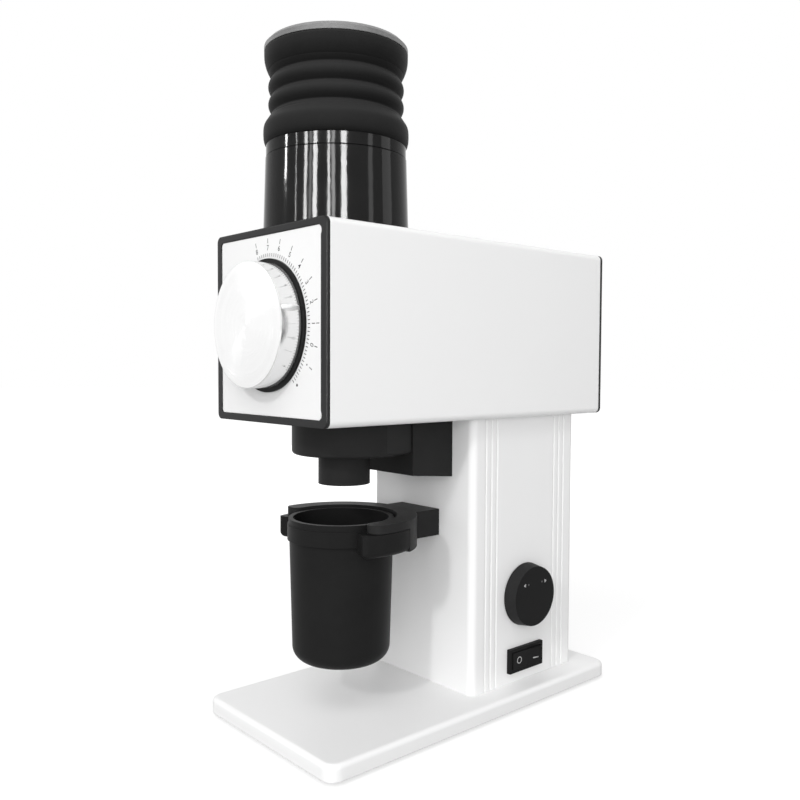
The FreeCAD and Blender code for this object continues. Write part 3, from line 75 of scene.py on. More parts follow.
HOPPER = middle("hopper_tube")
HEAD_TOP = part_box("head_housing")[1].z
PLATE_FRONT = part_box("face_plate")[0].y
DIAL = middle("dial_knob")
DIAL_LOW, DIAL_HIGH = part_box("dial_knob")
KNOB = middle("speed_knob")
KNOB_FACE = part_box("speed_knob")[1].x
JOINTS = {joint["name"]: joint for joint in frame["joints"]}
ROCKER_PIVOT = Vector(JOINTS["rocker_tilt"]["pos_m"])
ROCKER_SLOPE = math.degrees(math.atan2(1.2, 11.3))
FACING_RIGHT = Matrix(((0, 0, 1, 0), (1, 0, 0, 0), (0, 1, 0, 0), (0, 0, 0, 1)))
FACING_BACK = Matrix.Rotation(-math.pi / 2, 4, "X")

# Finishes of the nodes that don't take the finish of their material slot
OWN_FINISH = {
    "speed_knob": "knob_plastic",
    "switch_frame": "control_plastic",
    "switch_rocker": "control_plastic",
    "power_inlet": "control_plastic",
    "dosing_cup": "cup_plastic",
    "face_plate": "face_paint",
}

# Points around the corners of the bellows, as offsets in radius and height
COLLAR_LIP = ((-0.0016, 0), (-0.0010, 0.0004), (0, 0.0026))
COLLAR_SHOULDER = ((0, -0.0004), (-0.0004, 0.0016), (-0.0013, 0.0030))
COLLAR_TIP = ((-0.0025, -0.0002), (-0.0032, 0.0011), (-0.0052, 0.0011), (-0.0048, -0.0018))
NECK_TOP = ((0, -0.0010),)
CROWN_TIP = ((-0.0022, -0.0011), (0.0019, -0.0011), (0.0025, 0.0004))
CROWN_FLARE = ((-0.0008, 0.0024), (-0.0002, 0.0048), (0, 0.0066))
CROWN_EDGE = ((0, -0.0008), (0, 0))
SEAT_EDGE = ((0, 0), (0, -0.0008))
SEAT_FOOT = ((0, 0.0032), (-0.0012, 0.0024))

# Number of the folds, rise of their first groove, how full they are, and points along their outline
FOLDS = 2.7
GROOVE_RISE = 0.0028
FOLD_FULLNESS = 0.75
FOLD_POINTS = 54

# Steps around a turned piece
RING_STEPS = 96
FINE_RING_STEPS = 128
CIRCLE_STEPS = 40

# Numbers of the scale, and its angles in degrees, clockwise from the top
SCALE_NUMBERS = "876543210"
SCALE_START = -15
SCALE_STEP = 15
FINE_PER_STEP = 5
DOT_ANGLE = 139
SMALL_DOT = 0.6

# Height of a digit as a share of the type's size, and spread of the ink as a share of that height
DIGIT_SHARE = 0.7
INK_SPREAD = 0.01

# Upper radius of a disc and corner radius of a bar, as shares of their size
DISC_TAPER = 0.96
BAR_ROUNDING = 0.3

# Power of a lamp for each square metre and unit of radiance
LAMP_POWER = 4

# Softboxes that light everything: name, place, height that they face, side, radiance
SOFTBOXES = (
    ("key_softbox", (0.48, -1.52, 1.02), 0.16, 0.12, 115),
    ("front_softbox", (0.65, -1.15, 1.45), 0.15, 1.4, 1.5),
    ("low_softbox", (0.4, -1.6, 0.35), 0.15, 0.8, 0.7),
    ("side_softbox", (1.5, -0.62, 0.5), 0.15, 1.0, 0.7),
    ("fill_softbox", (1.15, -1.04, 0.30), 0.15, 0.8, 3.1),
    ("rear_softbox", (-1.1, 0.9, 0.35), 0.18, 1.2, 1.4),
)

# Slim lamps mirrored in the hopper: degrees from the front, width, bottom, top, radiance
STREAK_DISTANCE = 1.5
STREAKS = (
    (-34, 0.10, 0.66, 0.90, 130),
    (-13, 0.04, 0.40, 0.86, 60),
    (4, 0.12, 0.40, 0.80, 110),
    (12, 0.10, 0.40, 0.80, 22),
    (19.5, 0.16, 0.40, 0.80, 130),
    (41, 0.10, 0.40, 0.80, 110),
    (48, 0.14, 0.40, 0.80, 45),
    (64.5, 0.22, 0.40, 0.80, 130),
    (108, 0.2, 0.40, 0.80, 7),
    (140, 0.5, 0.40, 0.80, 3),
)

# Lamps mirrored in the dial: direction, width and height, radiance
FAN_DISTANCE = 1.2
FANS = (
    ((-0.726, -0.644, 0.24), (0.05, 0.25), 6),
    ((-0.468, -0.884, -0.04), (0.06, 0.2), 2),
    ((-0.74, -0.66, 0.05), (1.0, 1.0), 0.18),
)

# Lamp mirrored in the bezel's right edge: degrees from the front, distance, size, radiance
EDGE_ANGLE = 46
EDGE_DISTANCE = 1.5
EDGE_SIZE = (0.3, 0.8)
EDGE_RADIANCE = 60

# The floor's disc, its grey, and its glow, which grows with the distance and is less in reflections
FLOOR_RADIUS = 6
FLOOR_GREY = 0.45
GLOW_START = 0.2
GLOW_END = 0.9
GLOW = 0.64
GLOW_GAIN = 0.2
GLOW_LOSS = 0.35

SENSOR_WIDTH = 36
CLIP_START = 0.01


def length(name, default, description):
    """Property that holds a length in metres."""
    return FloatProperty(name=name, description=description, default=default, unit="LENGTH", precision=5)


def angle(name, degrees, description):
    """Property that holds an angle."""
    return FloatProperty(name=name, description=description, default=math.radians(degrees), subtype="ANGLE")


def colour(name, default, description):
    """Property that holds a linear colour."""
    return FloatVectorProperty(
        name=name, description=description, default=default, size=3, subtype="COLOR", min=0, max=1)


class GrinderColours(PropertyGroup):
    """Colours of the finishes."""

    enamel: colour("Enamel", (0.86, 0.86, 0.86), "White powder coat of the stand and the head")
    face: colour("Face", (0.80, 0.80, 0.80), "White paint of the face plate")
    cover: colour("Cover", (0.02, 0.02, 0.0205), "Satin black of the bezel and the rear cap")
    gloss: colour("Gloss", (0.010, 0.010, 0.010), "Gloss black of the hopper and the dial's ring")
    plastic: colour("Plastic", (0.021, 0.021, 0.021), "Satin black of the chute, the bracket and the holder")
    cup: colour("Cup", (0.0125, 0.0125, 0.0125), "Satin black of the dosing cup")
    control: colour("Control", (0.014, 0.014, 0.0142), "Black of the speed knob and the switch")
    silicone: colour("Silicone", (0.018, 0.018, 0.018), "Matt black of the bellows")
    dial: colour("Dial", (0.80, 0.80, 0.80), "Turned aluminium of the dial")
    lid: colour("Lid", (0.2, 0.2, 0.2), "Satin metal of the lid")
    ink: colour("Ink", (0.05, 0.05, 0.05), "Print of the dial's scale")
    mark: colour("Mark", (0.45, 0.45, 0.45), "Marks on the switch and the knob")
    # The pointer's white is partly a painted highlight.
    pointer: colour("Pointer", (0.88, 0.88, 0.88), "White paint of the dial's pointer")
    pale: colour("Pale", (0.5, 0.5, 0.49), "Pale plastic of inner pieces")
    rubber: colour("Rubber", (0.016, 0.016, 0.016), "Black of the feet")
    cast: colour("Cast", (0.58, 0.58, 0.59), "Cast aluminium")
    steel: colour("Steel", (0.55, 0.55, 0.56), "Steel of shafts and screws")
    burr: colour("Burr", (0.42, 0.42, 0.43), "Hardened steel of the burrs")
    iron: colour("Iron", (0.2, 0.2, 0.2), "Iron of the motor's core")
    magnet: colour("Magnet", (0.68, 0.68, 0.69), "Plated magnets")
    brass: colour("Brass", (0.7, 0.52, 0.22), "Brass")
    board: colour("Board", (0.03, 0.16, 0.08), "Circuit board")


class BellowsSizes(PropertyGroup):
    """Outline of the silicone bellows, with heights above the top of the head."""

    collar_low: length("Collar bottom", 0.0444, "Height of the collar's lower edge")
    collar_high: length("Collar top", 0.0529, "Height where the collar's wall ends")
    collar_radius: length("Collar radius", 0.0372, "Outside of the collar")
    fold_low: length("Fold bottom", 0.0578, "Height where the folds start")
    fold_high: length("Fold top", 0.0816, "Height where the folds end")
    groove_radius: length("Groove radius", 0.0324, "Outside at the bottom of a groove")
    bulge_radius: length("Bulge radius", 0.0346, "Outside at the top of a fold")
    crown_high: length("Crown top", 0.0914, "Height of the crown's upper edge")
    crown_radius: length("Crown radius", 0.0366, "Outside of the crown")
    wall: length("Wall", 0.0022, "Thickness of the folds")
    neck_radius: length("Neck radius", 0.0347, "Inside of the collar around the hopper's neck")
    seat_radius: length("Seat radius", 0.03265, "Inside of the crown around the lid's seat")
    seam_radius: length("Seam radius", 0.03588, "Outside of the seam on the hopper")
    seam_low: length("Seam bottom", 0.0381, "Height of the seam's lower edge")
    seam: length("Seam", 0.0005, "Height of the seam")
    seam_depth: length("Seam depth", 0.0002, "How far the seam goes into the hopper")


class FluteSizes(PropertyGroup):
    """Sizes of the grooves down the column's sides."""

    front_inset: length("Front inset", 0.0104, "From the column's front to its first groove")
    rear_inset: length("Rear inset", 0.0103, "From the column's back to its last groove")
    pitch: length("Pitch", 0.0044, "From groove to groove")
    width: length("Width", 0.0014, "Width of a groove")
    depth: length("Depth", 0.0009, "Depth of a groove")
    heel: length("Heel", 0.0005, "Flat strip before the slope starts")
    bury: length("Bury", 0.00003, "How far the slopes go into the column")
    count: IntProperty(name="Count", description="Grooves at each corner", default=3, min=1)


class PrintSizes(PropertyGroup):
    """Sizes of the dial's scale and of the painted shade of the sockets in the rear screws."""

    number_height: length("Number height", 0.0025, "Height of a number")
    number_radius: length("Number radius", 0.0376, "Radius of the circle of numbers")
    long_tick_radius: length("Long tick radius", 0.0410, "Radius of the middle of the long ticks")
    long_tick: length("Long tick", 0.0024, "Length of a long tick")
    fine_tick_radius: length("Fine tick radius", 0.0342, "Radius of the middle of the fine ticks")
    fine_tick: length("Fine tick", 0.0017, "Length of a fine tick")
    tick_width: length("Tick width", 0.0004, "Width of a tick")
    dot_radius: length("Dot radius", 0.0007, "Radius of the dot at the end of the scale")
    raise_height: length("Raise", 0.00004, "Thickness of the print and of the sockets' discs")
    screw_radius: length("Screw radius", 0.0024, "Radius of a rear screw's head")
    socket_radius: length("Socket radius", 0.0014, "Corner radius of a screw's socket")
    fine_ticks: IntProperty(name="Fine ticks", description="Steps of the fine ticks", default=52, min=1)


class MarkSizes(PropertyGroup):
    """Sizes and places of the marks on the controls and of the dial's pointer."""

    depth: length("Depth", 0.00008, "Thickness of the paint")
    arrow_reach: length("Arrow reach", 0.0088, "From the knob's axis to an arrow, level")
    arrow_rise: length("Arrow rise", 0.0074, "From the knob's axis to an arrow, upright")
    arrow_radius: length("Arrow radius", 0.00125, "Corner radius of an arrow")
    dot_gap: length("Dot gap", 0.0030, "From an arrow to the dot beside it")
    dot_width: length("Dot width", 0.0011, "Width of a dot")
    dot_height: length("Dot height", 0.0010, "Height of a dot")
    rocker_rest: angle("Rocker rest", -6, "Tilt of the rocker at rest")
    rocker_slope: angle("Rocker slope", ROCKER_SLOPE, "Slope of each half of the rocker's face")
    rocker_face: length("Rocker face", 0.0054, "From the rocker's pivot to the middle of its face")
    off_reach: length("Off reach", 0.0062, "From the rocker's middle to the circle")
    off_inside: length("Off inside", 0.0015, "Inner radius of the circle")
    off_outside: length("Off outside", 0.0020, "Outer radius of the circle")
    on_reach: length("On reach", 0.0066, "From the rocker's middle to the dash")
    on_drop: length("On drop", 0.0009, "How far the dash lies below the rocker's middle")
    dash_length: length("Dash length", 0.0038, "Length of the dash")
    dash_width: length("Dash width", 0.0007, "Width of the dash")
    pointer_angle: angle("Pointer angle", 76, "Turn of the pointer, clockwise from the top")
    pointer_width: length("Pointer width", 0.0022, "Width of the pointer")
    pointer_height: length("Pointer height", 0.0004, "Thickness of the pointer")
    pointer_sink: length("Pointer sink", 0.0001, "How far the pointer's middle lies in the dial")
    pointer_short: length("Pointer short", 0.0012, "How much shorter than the dial the pointer is")
    pointer_shift: length("Pointer shift", 0.0002, "How far the pointer lies behind the dial's middle")


class StageSettings(PropertyGroup):
    """Camera and light."""

    camera_place: FloatVectorProperty(
        name="Camera place", description="Where the camera stands", default=(0.35, -0.3216, 0.1907),
        size=3, subtype="TRANSLATION", unit="LENGTH")
    azimuth: angle("Azimuth", 48.40, "Turn of the camera from the front")
    elevation: angle("Elevation", 2.51, "Height of the camera")
    roll: angle("Roll", 0.257, "Lean of the camera")
    lens: FloatProperty(
        name="Lens", description="Focal length on a 36 mm sensor", default=37.89, subtype="DISTANCE_CAMERA")
    ambient: FloatProperty(
        name="Ambient", description="Light that comes from all round", default=0.54, min=0)


class Wire:
    """Output of a node that takes part in sums."""

    def __init__(self, graph, socket):
        self.graph = graph
        self.socket = socket

    def __add__(self, other):
        return self.graph.maths("ADD", self, other)

    def __radd__(self, other):
        return self.graph.maths("ADD", other, self)

    def __sub__(self, other):
        return self.graph.maths("SUBTRACT", self, other)

    def __rsub__(self, other):
        return self.graph.maths("SUBTRACT", other, self)

    def __mul__(self, other):
        return self.graph.maths("MULTIPLY", self, other)

    def __rmul__(self, other):
        return self.graph.maths("MULTIPLY", other, self)

    def __pow__(self, other):
        return self.graph.maths("POWER", self, other)


class Graph:
    """Nodes of a material or of the world."""

    def __init__(self, tree):
        self.tree = tree
        tree.nodes.clear()

    def fill(self, node, inputs):
        """Set or link sockets of a node."""
        for name, value in inputs.items():
            if isinstance(value, Wire):
                self.tree.links.new(value.socket, node.inputs[name])
            else:
                node.inputs[name].default_value = value

    def node(self, kind, settings=None, inputs=None, output=0):
        """Add a node with its settings, then the values or links of its sockets."""
        made = self.tree.nodes.new(kind)
        for name, value in (settings or {}).items():
            setattr(made, name, value)
        self.fill(made, inputs or {})
        return Wire(self, made.outputs[output])

    def maths(self, operation, first, second):
        """Outcome of a sum with two values."""
        return self.node("ShaderNodeMath", {"operation": operation}, {0: first, 1: second})


class Finish(Graph):
    """Material around one Principled shader."""

    def __init__(self, name, constants):
        self.material = bpy.data.materials.new(name)
        self.material.use_nodes = True
        super().__init__(self.material.node_tree)
        self.shader = self.tree.nodes.new("ShaderNodeBsdfPrincipled")
        output = self.tree.nodes.new("ShaderNodeOutputMaterial")
        self.tree.links.new(self.shader.outputs[0], output.inputs["Surface"])
        self.feed(constants)

    def feed(self, inputs):
        """Set or link sockets of the shader."""
        self.fill(self.shader, inputs)

    def place(self):
        """Where a point lies on the object."""
        return self.node("ShaderNodeTexCoord", output="Object")

    def noise(self, scale, detail, rough=0.5):
        """Cloudy noise of a scale per metre."""
        return self.node("ShaderNodeTexNoise", None, {
            "Vector": self.place(), "Scale": scale, "Detail": detail, "Roughness": rough})

    def vary(self, noise, mean, span):
        """Value that follows a noise around a mean."""
        return noise * span + (mean - span / 2)

    def facing(self, axis):
        """How far the surface faces along an axis, from -1 to 1."""
        normal = self.node("ShaderNodeNewGeometry", output="Normal")
        return self.node("ShaderNodeSeparateXYZ", None, {0: normal}, axis)

    def edges(self, radius):
        """Normal with soft edges."""
        return self.node("ShaderNodeBevel", {"samples": 6}, {"Radius": radius})

    def bump(self, height, strength, depth, edge):
        """Normal that follows a height, with soft edges."""
        return self.node("ShaderNodeBump", None, {
            "Height": height, "Strength": strength, "Distance": depth, "Normal": self.edges(edge)})

    def tint(self, factor, first, second):
        """Colour between two colours."""
        return self.node(
            "ShaderNodeMix", {"data_type": "RGBA"}, {0: factor, 6: (*first, 1), 7: (*second, 1)}, output=2)


def shade(rgb, share):
    """A colour made darker or lighter."""
    return tuple(channel * share for channel in rgb)


def enamel_finish(name, rgb, rough, peel, level, edge=0.0006):
    """Powder coat with a fine orange peel and soft edges."""
    coat = Finish(name, {"IOR": 1.5, "Specular IOR Level": level})
    cloud = coat.noise(scale=14, detail=3)
    coat.feed({
        "Base Color": coat.tint(cloud, shade(rgb, 0.985), rgb),
        "Roughness": coat.vary(cloud, mean=rough, span=0.08),
        "Normal": coat.bump(coat.noise(scale=1300, detail=2), strength=peel, depth=0.00008, edge=edge),
    })
    return coat.material


def gloss_finish(name, rgb):
    """Polished black plastic, a little wavy, with faint smears."""
    polish = Finish(name, {"IOR": 1.5, "Specular IOR Level": 0.06})
    smear = polish.noise(scale=60, detail=4, rough=0.6)
    polish.feed({
        "Base Color": polish.tint(smear, rgb, shade(rgb, 1.5)),
        "Roughness": polish.vary(smear, mean=0.08, span=0.10),
        "Normal": polish.bump(polish.noise(scale=90, detail=3), strength=0.3, depth=0.0003, edge=0.0003),
    })
    return polish.material


def plastic_finish(name, rgb, rough, level, grain=0.12, spread=0.22, painted_rim_light=None):
    """Moulded plastic with a fine grain, and on a knob a rim painted lighter than its face as painted light."""
    moulding = Finish(name, {"IOR": 1.5, "Specular IOR Level": level})
    cloud = moulding.noise(scale=45, detail=4, rough=0.6)
    if painted_rim_light:
        # Painted light: the knob's rim, which faces across its axis, is lighter than its face.
        across = moulding.facing("X")
        tone = moulding.tint(across * across + (cloud - 0.5) * 0.3, shade(rgb, painted_rim_light), rgb)
    else:
        tone = moulding.tint(cloud, shade(rgb, 1 - spread), shade(rgb, 1 + spread))
    moulding.feed({
        "Base Color": tone,
        "Roughness": moulding.vary(cloud, mean=rough, span=0.16),
        "Normal": moulding.bump(
            moulding.noise(scale=2600, detail=2), strength=grain, depth=0.00006, edge=0.0005),
    })
    return moulding.material


def silicone_finish(name, rgb):
    """Matt silicone with a random cloudy tone, painted light on what faces up and painted shade on what faces
    down.
    """
    rubber = Finish(name, {"IOR": 1.42, "Specular IOR Level": 0.06})
    bloom = rubber.noise(scale=70, detail=5, rough=0.65)
    # Painted light and shade: lighter where the surface faces up, darker where it faces down, over a random cloud.
    cloud_and_painted_light = bloom * 0.4 + rubber.facing("Z") * 1.2 + 0.3
    rubber.feed({
        "Base Color": rubber.tint(cloud_and_painted_light, shade(rgb, 0.55), shade(rgb, 1.4)),
        "Roughness": rubber.vary(bloom, mean=0.5, span=0.16),
        "Normal": rubber.bump(
            rubber.noise(scale=1800, detail=3), strength=0.15, depth=0.00006, edge=0.0004),
    })
    return rubber.material


def turned_finish(name, rgb, rough, axis_height, flank_radius, flank_blend=0.0004):
    """Metal turned on a lathe about an axis along the depth, with fine rings. Its flank is smoother."""
    metal = Finish(name, {"IOR": 1.5})
    parts = metal.node("ShaderNodeSeparateXYZ", None, {0: metal.place()}).socket.node
    across, depth, height = (Wire(metal, socket) for socket in parts.outputs)
    rise = height - axis_height
    radius = (across * across + rise * rise) ** 0.5
    rings, bands = (
        metal.node(
            "ShaderNodeTexNoise", {"noise_dimensions": "1D"},
            {"W": radius + depth, "Scale": scale, "Detail": 1.0, "Roughness": 0.5})
        for scale in (6000, 420))
    flank = metal.node(
        "ShaderNodeMapRange", {"interpolation_type": "SMOOTHSTEP"},
        {"Value": radius, "From Min": flank_radius, "From Max": flank_radius + flank_blend})
    metal.feed({
        "Base Color": metal.tint(flank + (bands - 0.5) * 0.2, rgb, shade(rgb, 1.05)),
        "Metallic": 1 - flank * 0.15,
        "Roughness": metal.vary(bands, mean=rough, span=0.04) - flank * 0.04,
        "Normal": metal.bump(rings, strength=1 - flank * 0.85, depth=0.000035, edge=0.0003),
    })
    return metal.material


def metal_finish(name, rgb, rough, scale=900):
    """Plain metal with a fine uneven surface."""
    metal = Finish(name, {"Metallic": 1.0})
    cloud = metal.noise(scale=120, detail=4, rough=0.6)
    metal.feed({
        "Base Color": metal.tint(cloud, shade(rgb, 0.88), rgb),
        "Roughness": metal.vary(cloud, mean=rough, span=0.14),
        "Normal": metal.bump(metal.noise(scale=scale, detail=3), strength=0.12, depth=0.00006, edge=0.0002),
    })
    return metal.material


def ink_finish(name, rgb, rough):
    """Printed or painted mark with uneven colour."""
    ink = Finish(name, {"IOR": 1.5, "Specular IOR Level": 0.3})
    spots = ink.noise(scale=2500, detail=3)
    ink.feed({
        "Base Color": ink.tint(spots, shade(rgb, 0.85), shade(rgb, 1.1)),
        "Roughness": ink.vary(spots, mean=rough, span=0.1),
    })
    return ink.material


def board_finish(name, rgb):
    """Circuit board with a faint weave."""
    board = Finish(name, {"IOR": 1.5, "Specular IOR Level": 0.4})
    weave = board.noise(scale=700, detail=1)
    board.feed({
        "Base Color": board.tint(weave, shade(rgb, 0.8), shade(rgb, 1.2)),
        "Roughness": board.vary(weave, mean=0.4, span=0.1),
    })
    return board.material


def piece(name, mesh, material, body):
    """Finished piece from a bmesh, with its place in its mesh."""
    bmesh.ops.recalc_face_normals(mesh, faces=mesh.faces[:])
    data = bpy.data.meshes.new(name)
    mesh.to_mesh(data)
    mesh.free()
    for polygon in data.polygons:
        polygon.use_smooth = True
    made = bpy.data.objects.new(name, data)
    bpy.context.scene.collection.objects.link(made)
    made.data.materials.append(material)
    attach(made, body)
    return made


def soften(made, levels):
    """Round a coarse piece with a subdivision surface."""
    smooth = made.modifiers.new("smooth", "SUBSURF")
    smooth.levels = levels
    smooth.render_levels = levels


def sharpen(made, degrees):
    """Keep edges above an angle sharp."""
    made.data.set_sharp_from_angle(angle=math.radians(degrees))


def corner(radius, height, offsets):
    """Points of an outline around one of its corners."""
    return [(radius + out, height + up) for out, up in offsets]


def lathe(outline, centre, steps):
    """Closed outline of radius and height pairs spun about an upright axis."""
    mesh = bmesh.new()
    corners = [mesh.verts.new(centre + Vector((radius, 0, height))) for radius, height in outline]
    rims = [mesh.edges.new(pair) for pair in zip(corners, corners[1:] + corners[:1])]
    bmesh.ops.spin(
        mesh, geom=corners + rims, cent=centre, axis=(0, 0, 1), angle=2 * math.pi, steps=steps,
        use_merge=True)
    return mesh


def bar(mesh, width, height, depth, matrix):
    """Add a flat bar with rounded corners that lies in the plane of a matrix."""
    made = bmesh.ops.create_cube(mesh, size=1, matrix=Matrix.Diagonal((width, height, depth, 1)))["verts"]
    uprights = [
        edge for edge in {edge for vert in made for edge in vert.link_edges}
        if abs(edge.verts[0].co.z - edge.verts[1].co.z) > depth / 2
    ]
    rounded = bmesh.ops.bevel(
        mesh, geom=uprights, offset=min(width, height) * BAR_ROUNDING, affect="EDGES", segments=2,
        profile=0.5, material=-1)
    turned = {vert for face in rounded["faces"] for vert in face.verts}
    turned |= {vert for vert in made if vert.is_valid}
    bmesh.ops.transform(mesh, matrix=matrix, verts=list(turned))


def disc(mesh, radius, depth, matrix, segments=20):
    """Add a flat disc that lies in the plane of a matrix."""
    bmesh.ops.create_cone(
        mesh, cap_ends=True, segments=segments, radius1=radius, radius2=radius * DISC_TAPER, depth=depth,
        matrix=matrix)


def glyph(mesh, text, height, depth, matrix):
    """Add raised print of a short text that lies in the plane of a matrix."""
    curve = bpy.data.curves.new("glyph", "FONT")
    curve.body = text
    curve.size = height / DIGIT_SHARE
    curve.align_x = "CENTER"
    curve.align_y = "CENTER"
    curve.extrude = depth / 2
    curve.offset = height * INK_SPREAD
    curve.resolution_u = 4
    carrier = bpy.data.objects.new("glyph", curve)
    bpy.context.scene.collection.objects.link(carrier)
    bpy.context.view_layer.update()
    data = bpy.data.meshes.new_from_object(carrier.evaluated_get(bpy.context.evaluated_depsgraph_get()))
    data.transform(matrix)
    mesh.from_mesh(data)
    bpy.data.objects.remove(carrier)
    bpy.data.curves.remove(curve)
    bpy.data.meshes.remove(data)


def on_plate(degrees, radius):
    """Matrix of a place on the face plate, counted clockwise from the top about the dial."""
    spot = Matrix.Translation((DIAL.x, PLATE_FRONT, DIAL.z))
    turn = Matrix.Rotation(math.radians(degrees), 4, "Y")
    return spot @ turn @ Matrix.Translation((0, 0, radius)) @ Matrix.Rotation(math.pi / 2, 4, "X")


def on_rocker(sizes, side, reach, drop=0.0):
    """Matrix of a place on the front (-1) or rear (1) half of the rocker's face."""
    tilt = Matrix.Translation(ROCKER_PIVOT) @ Matrix.Rotation(sizes.rocker_rest, 4, "Z")
    out = sizes.rocker_face + reach * math.tan(sizes.rocker_slope)
    slope = Matrix.Rotation(-side * sizes.rocker_slope, 4, "Z")
    return tilt @ Matrix.Translation((out, side * reach, -drop)) @ slope @ FACING_RIGHT


class GRINDER_OT_paint(Operator):
    """Give every solid its finish"""

    bl_idname = "grinder.paint"
    bl_label = "Paint the solids"

    def execute(self, context):
        tones = context.scene.grinder_colours
        finishes = {
            "white_enamel": enamel_finish("powder_coat", tones.enamel, rough=0.4, peel=0.10, level=0.3),
            "face_paint": enamel_finish("face_paint", tones.face, rough=0.4, peel=0.08, level=0.3),
            "black_cover": enamel_finish(
                "black_cover", tones.cover, rough=0.34, peel=0.12, level=0.15, edge=0.0014),
            "gloss_black": gloss_finish("gloss_black", tones.gloss),
            "black_plastic": plastic_finish("black_plastic", tones.plastic, rough=0.42, level=0.06),
            "cup_plastic": plastic_finish("cup_plastic", tones.cup, rough=0.4, level=0.06),
            "control_plastic": plastic_finish(
                "control_plastic", tones.control, rough=0.45, level=0.04, grain=0.2),
            # The knob's rim gets painted light.
            "knob_plastic": plastic_finish(
                "knob_plastic", tones.control, rough=0.45, level=0.04, grain=0.2, painted_rim_light=1.65),
            "pale_plastic": plastic_finish("pale_plastic", tones.pale, rough=0.45, level=0.4),
            "lid_grey": plastic_finish("lid_grey", tones.lid, rough=0.38, level=0.2, spread=0.6),
            "silicone": silicone_finish("bellows_silicone", tones.silicone),
            "rubber": plastic_finish("rubber", tones.rubber, rough=0.7, level=0.25, grain=0.3),
            "turned_aluminium": turned_finish(
                "turned_aluminium", tones.dial, rough=0.15, axis_height=DIAL.z, flank_radius=0.0298),
            "cast_aluminium": metal_finish("cast_aluminium", tones.cast, rough=0.5, scale=420),
            "steel": metal_finish("steel", tones.steel, rough=0.32),
            "burr_steel": metal_finish("burr_steel", tones.burr, rough=0.28),
            "core_iron": metal_finish("core_iron", tones.iron, rough=0.6, scale=500),
            "magnet": metal_finish("magnet", tones.magnet, rough=0.2),
            "brass": metal_finish("brass", tones.brass, rough=0.3),
            "board": board_finish("board", tones.board),
        }
        for subpart in frame["record"]["subparts"]:
            node = subpart["node"]
            chosen = OWN_FINISH.get(node, subpart["material_slot"])
            solid = frame["nodes"][node]
            solid.data.materials.clear()
            solid.data.materials.append(finishes[chosen])
        return {"FINISHED"}


class GRINDER_OT_bellows(Operator):
    """Model the silicone bellows as a collar, its folds and a crown"""

    bl_idname = "grinder.bellows"
    bl_label = "Model the bellows"

    def execute(self, context):
        sizes = context.scene.grinder_bellows
        foot = Vector((HOPPER.x, HOPPER.y, HEAD_TOP))
        rubber = bpy.data.materials["bellows_silicone"]
        collar = lathe([
            (sizes.neck_radius, sizes.collar_low),
            *corner(sizes.collar_radius, sizes.collar_low, COLLAR_LIP),
            *corner(sizes.collar_radius, sizes.collar_high, COLLAR_SHOULDER),
            *corner(sizes.collar_radius, sizes.fold_low, COLLAR_TIP),
            *corner(sizes.neck_radius, sizes.collar_high, NECK_TOP),
        ], foot, RING_STEPS)
        collar_piece = piece("bellows_collar", collar, rubber, "stand")
        soften(collar_piece, levels=1)
        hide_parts("silicone_bellows")

        span = sizes.fold_high - sizes.fold_low
        bulge = sizes.bulge_radius - sizes.groove_radius
        ripple = []
        for step in range(FOLD_POINTS + 1):
            rise = span * step / FOLD_POINTS
            swing = abs(math.sin(math.pi * (rise - GROOVE_RISE) / (span / FOLDS))) ** FOLD_FULLNESS
            ripple.append((sizes.groove_radius + bulge * swing, sizes.fold_low + rise))
        inner = [(radius - sizes.wall, height) for radius, height in reversed(ripple)]
        folds = lathe(ripple + inner, foot, FINE_RING_STEPS)
        folds_piece = piece("bellows_folds", folds, rubber, "stand")
        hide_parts("silicone_bellows")
        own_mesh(folds_piece)

        crown = lathe([
            *corner(sizes.groove_radius, sizes.fold_high, CROWN_TIP),
            *corner(sizes.crown_radius, sizes.fold_high, CROWN_FLARE),
            *corner(sizes.crown_radius, sizes.crown_high, CROWN_EDGE),
            *corner(sizes.seat_radius, sizes.crown_high, SEAT_EDGE),
            *corner(sizes.seat_radius, sizes.fold_high, SEAT_FOOT),
        ], foot, RING_STEPS)
        crown_piece = piece("bellows_crown", crown, rubber, "bellows")
        soften(crown_piece, levels=1)
        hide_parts("silicone_bellows")
        return {"FINISHED"}


class GRINDER_OT_seam(Operator):
    """Paint shade along the seam between the hopper's tube and its band"""

    bl_idname = "grinder.seam"
    bl_label = "Mark the hopper's seam"

    def execute(self, context):
        sizes = context.scene.grinder_bellows
        foot = Vector((HOPPER.x, HOPPER.y, HEAD_TOP))
        # Painted shade: a ring darker than the gloss black where the seam's shadow falls.
        dark = shade(context.scene.grinder_colours.gloss, 0.4)
        shadow = plastic_finish("seam_shadow", dark, rough=0.7, level=0.02)
        inside = sizes.seam_radius - sizes.seam_depth
        seam_high = sizes.seam_low + sizes.seam
        seam = lathe([
            (inside, sizes.seam_low), (sizes.seam_radius, sizes.seam_low),
            (sizes.seam_radius, seam_high), (inside, seam_high),
        ], foot, FINE_RING_STEPS)
        piece("hopper_seam_shade", seam, shadow, "stand")
        return {"FINISHED"}


